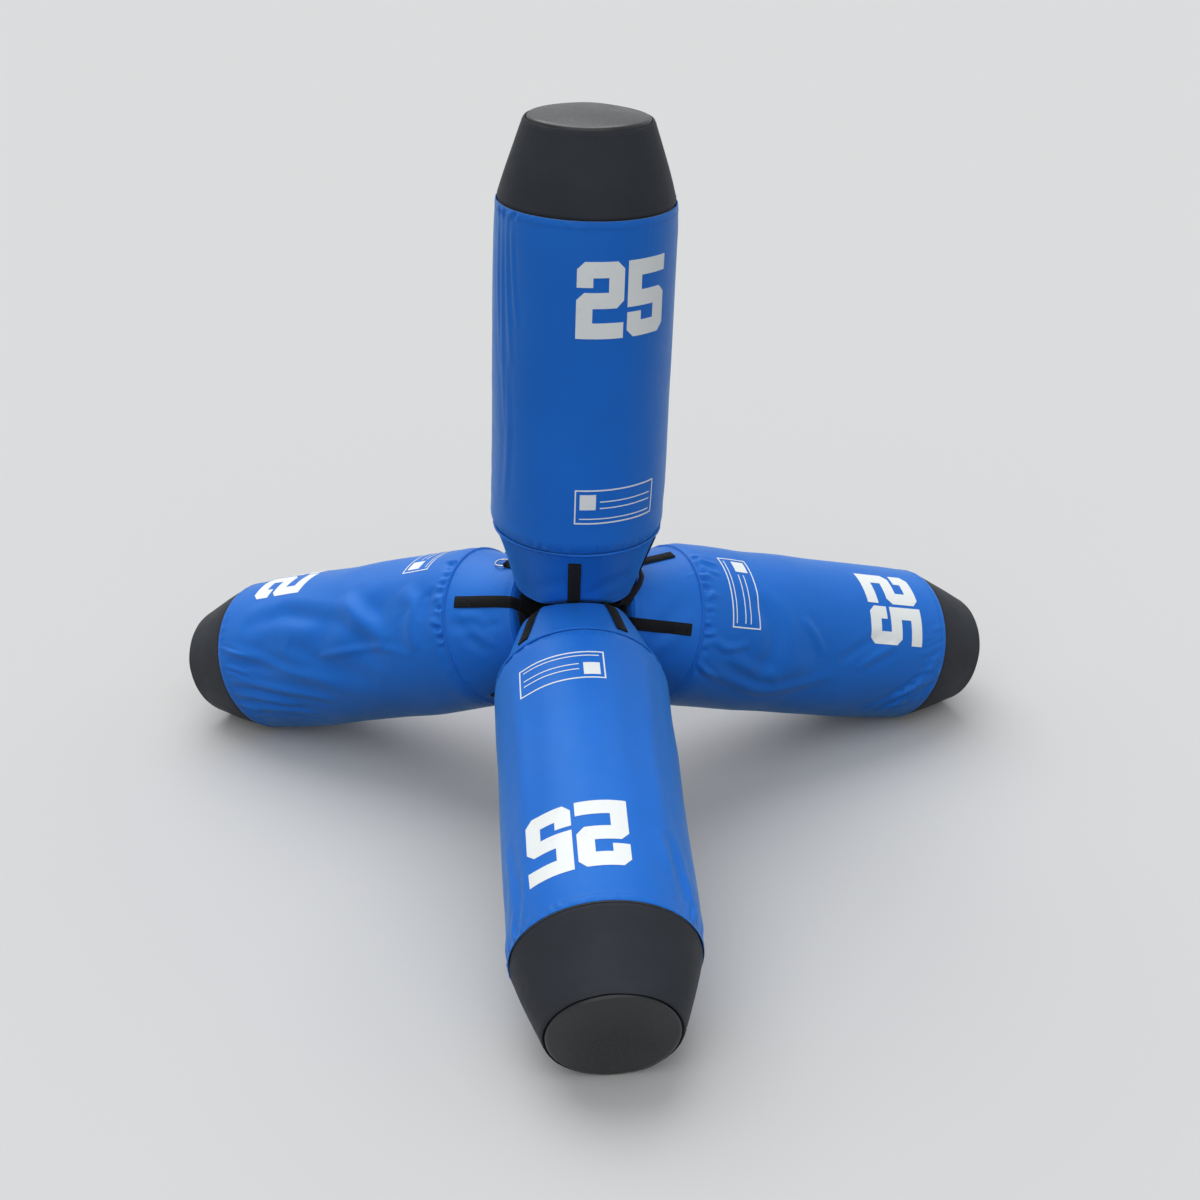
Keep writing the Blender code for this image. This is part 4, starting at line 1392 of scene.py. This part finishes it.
def ribbon(name, middles, across, off, width, thickness, stands_for):
    """A flat band with soft edges along a path of middles, with its two ends closed."""
    half = width / 2
    thick = thickness / 2
    edge = thick * 0.8
    lower = np.array([(-half, -thick * 0.35), (-half + edge, -thick), (-half * 0.45, -thick),
                      (half * 0.45, -thick), (half - edge, -thick), (half, -thick * 0.35)])
    shape = np.vstack((lower, -lower))
    points = (middles[:, None] + across[:, None] * shape[None, :, :1]
              + off[:, None] * shape[None, :, 1:])
    rows, sides = points.shape[:2]
    faces = tube_faces(rows, sides)
    faces.append(tuple(range(sides))[::-1])
    faces.append(tuple(range((rows - 1) * sides, rows * sides)))
    mesh = to_mesh(name, points.reshape(-1, 3), faces)
    outward(mesh)
    mesh.set_sharp_from_angle(angle=math.radians(50.0))
    return add_piece(mesh, "black_webbing", stands_for)


def outward(mesh):
    """Turn every face of a closed mesh outward."""
    shape = bmesh.new()
    shape.from_mesh(mesh)
    bmesh.ops.recalc_face_normals(shape, faces=shape.faces)
    shape.to_mesh(mesh)
    shape.free()


def strap_line():
    """Along the base section, from the sewn end over the rim to where the strap leaves the panel."""
    section = base_section()[::-1]
    sewn = section[:, 0] <= BASE_STATION + STRAP_REACH
    return section[sewn & (section[:, 1] >= BASE_RADIUS - RIM_TURN_IN + 0.002)]


def strap_frames(arm, number):
    """Middles, across and off directions of one strap, in the arm's frame."""
    degrees = STRAP_ANGLES[arm.name][number - 1]
    angle = math.radians(degrees)
    skin = SKINS[arm.name + "_base"]
    rows = matching_rows(skin.section, strap_line())
    lift = CLEARANCE + WEBBING_THICKNESS / 2
    middles = (sampled(skin.points, rows, angle)
               + unit(sampled(skin.normals, rows, angle)) * lift)
    outward_way = round_points(1.0, angle, 0.0)
    inner = outward_way * (STRAP_INNER_RADIUS + WEBBING_THICKNESS / 2)
    inner[2] = PAD_FACE_DISTANCE + CLEARANCE
    loose = np.array(LOOSE_STRAPS.get((arm.name, number), ()))
    if len(loose):
        middles = middles[middles[:, 2] > loose[0, 2] + LOOSE_START]
        spots = round_points(loose[:, 1], np.radians(loose[:, 0]), loose[:, 2])
        corners = np.vstack((middles[-1], spots, inner))
        shares = np.linspace(0.0, len(corners) - 1.0, 40)[1:]
        tail = finer(corners, shares, False)
        faces = np.interp(shares, np.arange(len(corners)), (degrees, *loose[:, 3], loose[-1, 3]))
        faces = np.radians(np.concatenate((np.full(len(middles), degrees), faces)))
    else:
        turn = outward_way * STRAP_TURN_RADIUS
        turn[2] = BASE_STATION - lift
        shares = np.linspace(0.0, 1.0, 22)[1:, None]
        first = middles[-1] + (turn - middles[-1]) * shares
        second = turn + (inner - turn) * shares
        tail = first + (second - first) * shares
        faces = np.full(len(middles) + len(tail), angle)
    middles = smooth_path(np.vstack((middles, tail)), 3)
    along = unit(np.gradient(middles, axis=0))
    sideways = np.stack((-np.sin(faces), np.cos(faces), np.zeros_like(faces)), axis=1)
    across = unit(sideways - (along * sideways).sum(axis=1, keepdims=True) * along)
    off = np.cross(across, along)
    off *= np.sign((off[0] * outward_way).sum())
    return middles, across, off


def matching_rows(section, places):
    """Rows of a section that lie nearest to the given places."""
    gaps = np.linalg.norm(section[None] - places[:, None], axis=2)
    return gaps.argmin(axis=1).astype(float)


def smooth_path(points, rounds):
    points = points.copy()
    for _ in range(rounds):
        points[1:-1] = (points[:-2] + 2.0 * points[1:-1] + points[2:]) / 4.0
    return points


def pressed_middles(arm, middles):
    """Keep a strap between the cover under it and the neighbouring arms."""
    for normal in arm.meeting:
        middles = pushed(middles, normal, HALF_CLEARANCE + WEBBING_THICKNESS / 2, 0.0004)
    return middles


# Print

def numeral(digit):
    """The outline of a block numeral one unit wide, with cut corners."""
    height, bar, cut, tail = NUMERAL_HEIGHT, NUMERAL_BAR, NUMERAL_CUT, NUMERAL_TAIL
    middle = height / 2
    low = middle - bar / 2
    high = middle + bar / 2
    return {
        "2": [(0, height - cut), (cut, height), (1 - cut, height), (1, height - cut),
              (1, low + cut), (1 - cut, low), (bar, low), (bar, bar), (1, bar), (1, 0), (0, 0),
              (0, high - cut), (cut, high), (1 - bar, high), (1 - bar, height - bar),
              (bar, height - bar), (bar, height - bar - tail), (0, height - bar - tail)],
        "5": [(0, height), (1, height), (1, height - bar), (bar, height - bar), (bar, high),
              (1 - cut, high), (1, high - cut), (1, cut), (1 - cut, 0), (cut, 0), (0, cut),
              (0, bar + tail), (bar, bar + tail), (bar, bar), (1 - bar, bar), (1 - bar, low),
              (0, low)],
    }[digit]


def number_outlines(width, height):
    """Outlines of the number's digits, stretched to fill a field."""
    total = len(NUMBER) + NUMERAL_GAP * (len(NUMBER) - 1)
    outlines = []
    for place, digit in enumerate(NUMBER):
        start = place * (1 + NUMERAL_GAP)
        outlines.append([((start + across) / total * width, up / NUMERAL_HEIGHT * height)
                         for across, up in numeral(digit)])
    return outlines


def bar_outline(left, low, right, high):
    return [(left, low), (right, low), (right, high), (left, high)]


def panel_outlines(width, height):
    """A plain write-in panel: a frame, a filled square and three ruled lines."""
    line = 0.0024
    rule = 0.0018
    square = height * 0.44
    inset = 0.0085
    right = width - inset
    outlines = [
        bar_outline(0.0, 0.0, width, line),
        bar_outline(0.0, height - line, width, height),
        bar_outline(0.0, line, line, height - line),
        bar_outline(width - line, line, width, height - line),
        bar_outline(inset, height - inset - square, inset + square, height - inset),
        bar_outline(inset, inset, right, inset + rule),
    ]
    start = inset + square + 0.007
    for share in (0.42, 0.68):
        low = inset + (height - 2 * inset) * share
        outlines.append(bar_outline(start, low, right, low + rule))
    return outlines


def print_mesh(name, arm, outlines, stations, degrees, thickness):
    """Cut flat outlines into small cells and lay them on the sleeve."""
    skin = SKINS[arm.name + "_sleeve"]
    first, last = (math.radians(angle) for angle in degrees)
    width = (last - first) * ARM_RADIUS
    height = stations[1] - stations[0]
    shape = bmesh.new()
    for outline in outlines(width, height):
        shape.faces.new([shape.verts.new((across, up, 0.0)) for across, up in outline])
    for way, reach in ((Vector((1.0, 0.0, 0.0)), width), (Vector((0.0, 1.0, 0.0)), height)):
        for step in range(1, int(reach / PRINT_CELL) + 1):
            everything = shape.verts[:] + shape.edges[:] + shape.faces[:]
            bmesh.ops.bisect_plane(shape, geom=everything, plane_co=way * (step * PRINT_CELL),
                                   plane_no=way, dist=1e-7)
    for face in shape.faces:
        if face.normal.z < 0.0:
            face.normal_flip()
    bmesh.ops.triangulate(shape, faces=[face for face in shape.faces if len(face.verts) > 4])
    shape.verts.index_update()
    flat = np.array([vertex.co for vertex in shape.verts])
    angles = first + flat[:, 0] / ARM_RADIUS
    places = stations[0] + flat[:, 1]
    lifted, _ = skin.at(places, angles, CLEARANCE + thickness)
    under, _ = skin.at(places, angles, CLEARANCE * 0.5)
    count = len(flat)
    faces = [[vertex.index for vertex in face.verts] for face in shape.faces]
    backs = [[index + count for index in reversed(face)] for face in faces]
    sides = []
    for edge in shape.edges:
        if len(edge.link_faces) == 1:
            loop = edge.link_loops[0]
            start = loop.vert.index
            end = loop.link_loop_next.vert.index
            sides.append([end, start, start + count, end + count])
    shape.free()
    mesh = to_mesh(name, np.vstack((lifted, under)), faces + backs + sides)
    mesh.set_sharp_from_angle(angle=math.radians(40.0))
    return mesh


# Ring and tab

def arc(middle, radius, start, end, steps):
    turns = np.linspace(start, end, steps + 1)
    return np.column_stack((middle[0] + radius * np.cos(turns), middle[1] + radius * np.sin(turns)))


def ring_seat():
    """The bar's middle, and its frame: X along the bar, Y to the tip, Z off the cone."""
    angle = math.radians(RING_ANGLE)
    outside = round_points(1.0, angle, 0.0)
    along = np.array((0.0, 0.0, 1.0))
    toward_tip = along * math.cos(BASE_CONE_SLOPE) + outside * math.sin(BASE_CONE_SLOPE)
    off_cone = outside * math.cos(BASE_CONE_SLOPE) - along * math.sin(BASE_CONE_SLOPE)
    radius = BASE_RADIUS + (RING_STATION - BASE_STATION) * math.tan(BASE_CONE_SLOPE)
    middle = outside * radius + along * RING_STATION + off_cone * BAR_HEIGHT
    return middle, np.column_stack((np.cross(toward_tip, off_cone), toward_tip, off_cone))


def wire(name, path):
    """Round wire along a closed path that lies flat in the ring's own frame."""
    middle, seat = ring_seat()
    reach = RING_LEG_LENGTH + RING_HALF_WIDTH
    settle = -math.asin((BAR_HEIGHT - RING_WIRE_RADIUS - CLEARANCE) / reach)
    tilt = np.array(Matrix.Rotation(settle, 3, "X"))
    flat = np.column_stack((path, np.zeros(len(path))))
    along = unit(np.roll(flat, -1, axis=0) - np.roll(flat, 1, axis=0))
    up = np.array((0.0, 0.0, 1.0))
    side = np.cross(along, up)
    turns = even_angles(RING_WIRE_SIDES)[None, :, None]
    points = (flat[:, None] + side[:, None] * RING_WIRE_RADIUS * np.cos(turns)
              + up * RING_WIRE_RADIUS * np.sin(turns))
    points = ARMS["left"].world(middle + points.reshape(-1, 3) @ tilt.T @ seat.T)
    mesh = to_mesh(name, points, tube_faces(len(path), RING_WIRE_SIDES, True))
    outward(mesh)
    return mesh


def ring_outline():
    half = RING_HALF_WIDTH
    corner = RING_CORNER_RADIUS
    bar = np.column_stack((np.linspace(-half + corner, half - corner, 14)[1:-1], np.zeros(12)))
    left = arc((-half + corner, corner), corner, -math.pi, -math.pi / 2, 8)
    right = arc((half - corner, corner), corner, -math.pi / 2, 0.0, 8)
    arch = arc((0.0, RING_LEG_LENGTH), half, 0.0, math.pi, 40)
    return np.vstack((left, bar, right, arch))


def tab_path():
    """The middle of the folded webbing: under the bar, round it, and back on itself."""
    hole = RING_WIRE_RADIUS + CLEARANCE + TAB_THICKNESS / 2
    wrap = arc((0.0, 0.0), hole, -math.pi / 2, math.radians(TAB_WRAP_DEGREES - 90.0), 20)
    lower = np.column_stack((np.linspace(-TAB_LENGTH, -0.0005, 14), np.full(14, -hole)))
    lift = CLEARANCE + TAB_THICKNESS
    fall = np.array([(-TAB_FALL_LENGTH, -hole + lift)])
    upper = np.column_stack((np.linspace(-TAB_FALL_LENGTH - 0.001, -TAB_LENGTH, 10),
                             np.full(10, -hole + lift)))
    return np.vstack((lower, wrap, fall, upper))


# Operators

class BAG_OT_foam(bpy.types.Operator):
    """Put a foam core inside the covers of every arm"""
    bl_idname = "bag.foam"
    bl_label = "Foam cores"

    def execute(self, context):
        for name, arm in ARMS.items():
            skin = Skin(arm, foam_section(), FOAM_COLUMNS)
            mesh = surface(name + "_foam", arm.world(self.under_covers(arm, skin)), "poles")
            piece = add_piece(mesh, "grey_foam", name + "_foam_core")
        return {"FINISHED"}

    def under_covers(self, arm, skin):
        """Hold the core's side a little way inside the covers that are round it."""
        points = skin.points.copy()
        angles = np.arctan2(points[..., 1], points[..., 0])
        radius = np.hypot(points[..., 0], points[..., 1])
        station = points[..., 2]
        limit = radius - FOAM_SINK
        sleeve = SKINS[arm.name + "_sleeve"]
        inside = (station > BASE_SEAM_STATION) & (station < TIP_SEAM_STATION)
        cover = sampled(sleeve.points, sleeve.rows_at(station), angles)
        room = np.hypot(cover[..., 0], cover[..., 1]) - FOAM_UNDER_SLEEVE
        limit = np.where(inside, np.minimum(limit, room), limit)
        factor = np.clip(limit, 0.0, None) / np.maximum(radius, 1e-9)
        points[..., :2] *= factor[..., None]
        return points


class BAG_OT_sleeves(bpy.types.Operator):
    """Let the loose cloth of the sleeves settle, and finish it with seams, gathers and folds"""
    bl_idname = "bag.sleeves"
    bl_label = "Sleeves"

    def execute(self, context):
        covers = context.scene.bag_covers
        shifts = settled_shifts(covers)
        for name, arm in ARMS.items():
            shift = capped(shifts[name], covers) if name in shifts else None
            skin = sleeve_skin(arm, shift)
            SKINS[name + "_sleeve"] = skin
            mesh = wall(name + "_sleeve_cloth", skin, covers.cloth_thickness)
            piece = add_piece(mesh, "blue_cloth", name + "_sleeve")
            mark_wear(piece, (BASE_SEAM_STATION, TIP_SEAM_STATION))
        return {"FINISHED"}


class BAG_OT_bases(bpy.types.Operator):
    """Sew the base cone and base panel of every arm"""
    bl_idname = "bag.bases"
    bl_label = "Base cones"

    def execute(self, context):
        covers = context.scene.bag_covers
        for name, arm in ARMS.items():
            skin = base_skin(arm)
            SKINS[name + "_base"] = skin
            mesh = wall(name + "_base_cone_cloth", skin, covers.cloth_thickness, 4)
            cone = add_piece(mesh, "blue_cloth", name + "_base_cone")
            mark_wear(cone, (BASE_SEAM_STATION, BASE_STATION))
            panel = wall_to_pole(name + "_base_panel_vinyl", base_panel_skin(arm),
                                 covers.vinyl_thickness)
            add_piece(panel, "black_vinyl", name + "_base_panel")
        return {"FINISHED"}


def wall_to_pole(name, skin, thickness):
    """A round panel: out from one pole over its edge and back inside to another."""
    outer = skin.points
    inner = outer - skin.normals * thickness
    if skin.section[0, 1] < skin.section[-1, 1]:
        rows = np.concatenate((outer, inner[::-1]))
    else:
        rows = np.concatenate((inner[::-1], outer))
    rows = rows[np.linalg.norm(np.ptp(rows, axis=1), axis=-1) > 1e-6]
    return surface(name, skin.arm.world(rows), "poles")


class BAG_OT_tips(bpy.types.Operator):
    """Close every arm with its black end cover"""
    bl_idname = "bag.tips"
    bl_label = "Tip cones"

    def execute(self, context):
        covers = context.scene.bag_covers
        for name, arm in ARMS.items():
            skin = tip_cone_skin(arm)
            SKINS[name + "_tip"] = skin
            mesh = wall(name + "_tip_cone_vinyl", skin, covers.vinyl_thickness, 4)
            cone = add_piece(mesh, "black_vinyl", name + "_tip_cone")
            mark_wear(cone, (TIP_SEAM_STATION, TIP_STATION))
            panel = wall_to_pole(name + "_tip_panel_vinyl", tip_panel_skin(arm),
                                 covers.vinyl_thickness)
            cap = add_piece(panel, "smooth_vinyl", name + "_tip_panel")
        return {"FINISHED"}


class BAG_OT_straps(bpy.types.Operator):
    """Lay the webbing straps over the base cones, with their ribs"""
    bl_idname = "bag.straps"
    bl_label = "Straps"

    def execute(self, context):
        for name, arm in ARMS.items():
            ribs = []
            for number in range(1, len(STRAP_ANGLES[name]) + 1):
                middles, across, off = strap_frames(arm, number)
                middles = pressed_middles(arm, middles)
                world = arm.world(middles)
                world_across = across @ arm.turn.T
                world_off = off @ arm.turn.T
                strap = name + "_webbing_" + str(number)
                ribbon(strap, world, world_across, world_off, STRAP_WIDTH, WEBBING_THICKNESS,
                       name + "_strap_" + str(number))
                ribs.append((world + world_off * WEBBING_THICKNESS / 2, world_off, False))
                ribs.append((world - world_off * WEBBING_THICKNESS / 2, -world_off, False))
            repeated(name + "_webbing_ribs", ribs, rib_sizes(), "black_webbing", True)
        return {"FINISHED"}


class BAG_OT_hub_pad(bpy.types.Operator):
    """Soften the sewn pad in the middle of the hub"""
    bl_idname = "bag.hub_pad"
    bl_label = "Hub pad"

    def execute(self, context):
        shape = bmesh.new()
        shape.from_mesh(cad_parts["hub_pad"].data)
        bmesh.ops.remove_doubles(shape, verts=shape.verts, dist=0.0001)
        bmesh.ops.dissolve_limit(shape, angle_limit=math.radians(2.0), verts=shape.verts,
                                 edges=shape.edges)
        mesh = bpy.data.meshes.new("hub_pad_webbing")
        shape.to_mesh(mesh)
        shape.free()
        mesh.shade_smooth()
        piece = add_piece(mesh, "black_webbing", "hub_pad")
        bevel = piece.modifiers.new("soft edges", "BEVEL")
        set_all(bevel, width=0.0035, segments=4, limit_method="ANGLE")
        return {"FINISHED"}


class BAG_OT_ring(bpy.types.Operator):
    """Hang the steel ring in its folded webbing tab"""
    bl_idname = "bag.ring"
    bl_label = "Ring and tab"

    def execute(self, context):
        add_piece(wire("steel_ring", ring_outline()), "plated_steel", "d_ring", "ring")
        middle, seat = ring_seat()
        path = tab_path()
        flat = np.column_stack((np.zeros(len(path)), path))
        along = unit(np.gradient(flat, axis=0))
        across = np.tile((1.0, 0.0, 0.0), (len(path), 1))
        off = np.cross(across, along)
        off = off if off[0, 2] < 0.0 else -off
        arm = ARMS["left"]
        turn = seat.T @ arm.turn.T
        world = arm.world(middle + flat @ seat.T)
        ribbon("ring_tab_webbing", world, across @ turn, off @ turn, WEBBING_WIDTH, TAB_THICKNESS,
               "d_ring_tab")
        sizes = rib_sizes()
        sizes["Width"] = WEBBING_WIDTH * RIB_WIDTH_SHARE
        sizes["Height"] *= 0.6
        path = [(world + off @ turn * TAB_THICKNESS / 2, off @ turn, False)]
        repeated("ring_tab_ribs", path, sizes, "black_webbing", True)
        return {"FINISHED"}


class BAG_OT_print(bpy.types.Operator):
    """Print a number and a plain write-in panel on every sleeve"""
    bl_idname = "bag.print"
    bl_label = "Print"

    def execute(self, context):
        thickness = context.scene.bag_trim.print_thickness
        for name, arm in ARMS.items():
            for field, outlines, stations, angles in (
                    ("_number", number_outlines, NUMBER_STATIONS, NUMBER_ANGLES),
                    ("_write_in_panel", panel_outlines, PANEL_STATIONS, PANEL_ANGLES)):
                mesh = print_mesh(name + field, arm, outlines, stations, angles[name], thickness)
                add_piece(mesh, "white_print")
        return {"FINISHED"}


class BAG_OT_stitching(bpy.types.Operator):
    """Sew the seams, hems and strap ends with thread"""
    bl_idname = "bag.stitching"
    bl_label = "Stitching"

    def execute(self, context):
        for name, arm in ARMS.items():
            paths = [self.round_row(name + cover, station) for cover, station in BLUE_ROUNDS]
            repeated(name + "_blue_stitches", paths, stitch_sizes(), "blue_thread")
            paths = [self.round_row(name + cover, station) for cover, station in BLACK_ROUNDS]
            for number in range(1, len(STRAP_ANGLES[name]) + 1):
                paths += self.strap_rows(arm, number)
            repeated(name + "_black_stitches", paths, stitch_sizes(), "black_thread")
        return {"FINISHED"}

    def round_row(self, skin_name, station):
        points, off = SKINS[skin_name].at(station, even_angles(ROUND_STEPS), 0.0001)
        lowest = bpy.context.scene.bag_trim.thread_thickness * 0.6
        points[:, 2] = np.maximum(points[:, 2], lowest)
        return points, off, True

    def strap_rows(self, arm, number):
        """A box of stitches with a cross in it, on the sewn end of a strap."""
        middles, across, off = strap_frames(arm, number)
        lift = WEBBING_THICKNESS / 2 + bpy.context.scene.bag_trim.rib_height * 0.6
        half = WEBBING_WIDTH / 2 - BOX_INSET
        near, far = BOX_ENDS
        corners = [(near, -half), (far, -half), (far, half), (near, half), (near, -half),
                   (far, half), (far, -half), (near, half)]
        rows = []
        for start, end in zip(corners, corners[1:]):
            shares = np.linspace(0.0, 1.0, 9)
            down = start[0] + (end[0] - start[0]) * shares
            side = start[1] + (end[1] - start[1]) * shares
            up = places_at(down, middles, off)
            point = (places_at(down, middles) + places_at(down, middles, across) * side[:, None]
                     + up * lift)
            rows.append((arm.world(point), up @ arm.turn.T, False))
        return rows


class BAG_OT_stage(bpy.types.Operator):
    """Set up the floor, the light and the camera"""
    bl_idname = "bag.stage"
    bl_label = "Stage"

    def execute(self, context):
        settings = context.scene.bag_stage
        self.add_floor(settings)
        self.add_light(settings)
        self.add_camera(context.scene)
        context.scene.view_settings.view_transform = "Standard"
        return {"FINISHED"}

    def add_floor(self, settings):
        half = settings.floor_size / 2
        mesh = bpy.data.meshes.new("floor")
        mesh.from_pydata([(-half, -half, 0.0), (half, -half, 0.0), (half, half, 0.0),
                          (-half, half, 0.0)], [], [(0, 1, 2, 3)])
        floor = linked("floor", mesh)
        finish = Finish("pale_floor", tuple(settings.floor_colour), 0.95)
        finish.set(Specular_IOR_Level=0.0)
        paths = add_node(finish.tree, "ShaderNodeLightPath")
        seen = finish.math(paths["Is Camera Ray"], paths["Is Glossy Ray"], "MAXIMUM")
        seen = finish.math(seen, paths["Is Transmission Ray"], "MAXIMUM")
        bounce = shaded(settings.floor_bounce)
        finish.set(Base_Color=finish.mix(seen, bounce, shaded(settings.floor_colour)))
        mesh.materials.append(finish.material)

    def add_light(self, settings):
        scene = bpy.context.scene
        world = bpy.data.worlds.new("room")
        world.use_nodes = True
        background = world.node_tree.nodes["Background"]
        background.inputs["Color"].default_value = (0.96, 0.985, 1.0, 1.0)
        background.inputs["Strength"].default_value = settings.room_strength
        scene.world = world
        self.add_lamp("overhead", settings.overhead_strength, settings.overhead_spread,
                      OVERHEAD_TILTS)
        self.add_lamp("front", settings.front_strength, settings.front_spread, FRONT_TILTS)

    def add_lamp(self, name, strength, spread, tilts):
        """A soft lamp that shines down, then is tilted up toward the front and the side."""
        lamp = set_all(bpy.data.lights.new(name, "SUN"), energy=strength, angle=spread)
        turns = (math.radians(tilts[0]), math.radians(tilts[1]), 0.0)
        set_all(linked(name, lamp), rotation_euler=turns)

    def add_camera(self, scene):
        data = bpy.data.cameras.new("camera")
        set_all(data, lens=CAMERA_LENS, sensor_width=CAMERA_SENSOR, sensor_fit="HORIZONTAL",
                clip_end=200.0)
        camera = linked("camera", data)
        camera.matrix_world = Matrix.Translation(CAMERA_PLACE)
        for degrees, axis in ((-CAMERA_HEADING, "Z"), (90.0 - CAMERA_FALL, "X"), (CAMERA_ROLL, "Z")):
            camera.matrix_world @= Matrix.Rotation(math.radians(degrees), 4, axis)
        scene.camera = camera


class BAG_PT_panel(bpy.types.Panel):
    """Lists the pieces of the tackling bag and their settings"""
    bl_idname = "BAG_PT_panel"
    bl_label = "Tackling bag"
    bl_space_type = "VIEW_3D"
    bl_region_type = "UI"
    bl_category = "Tackling bag"

    def draw(self, context):
        for operator in OPERATORS:
            self.layout.operator(operator.bl_idname)
        for settings in (context.scene.bag_covers, context.scene.bag_trim, context.scene.bag_stage):
            box = self.layout.box()
            for name in settings.__annotations__:
                box.prop(settings, name)


OPERATORS = (BAG_OT_sleeves, BAG_OT_bases, BAG_OT_tips, BAG_OT_foam, BAG_OT_straps, BAG_OT_hub_pad,
             BAG_OT_ring, BAG_OT_print, BAG_OT_stitching, BAG_OT_stage)
CLASSES = (CoverSettings, TrimSettings, StageSettings) + OPERATORS + (BAG_PT_panel,)


def register():
    for made in CLASSES:
        bpy.utils.register_class(made)
    bpy.types.Scene.bag_covers = PointerProperty(type=CoverSettings)
    bpy.types.Scene.bag_trim = PointerProperty(type=TrimSettings)
    bpy.types.Scene.bag_stage = PointerProperty(type=StageSettings)


def unregister():
    del bpy.types.Scene.bag_stage
    del bpy.types.Scene.bag_trim
    del bpy.types.Scene.bag_covers
    for made in reversed(CLASSES):
        bpy.utils.unregister_class(made)


def main():
    register()
    bpy.ops.bag.stage()
    bpy.ops.bag.sleeves()
    bpy.ops.bag.bases()
    bpy.ops.bag.tips()
    bpy.ops.bag.foam()
    bpy.ops.bag.straps()
    bpy.ops.bag.hub_pad()
    bpy.ops.bag.ring()
    bpy.ops.bag.print()
    bpy.ops.bag.stitching()


if __name__ == "__main__":
    main()
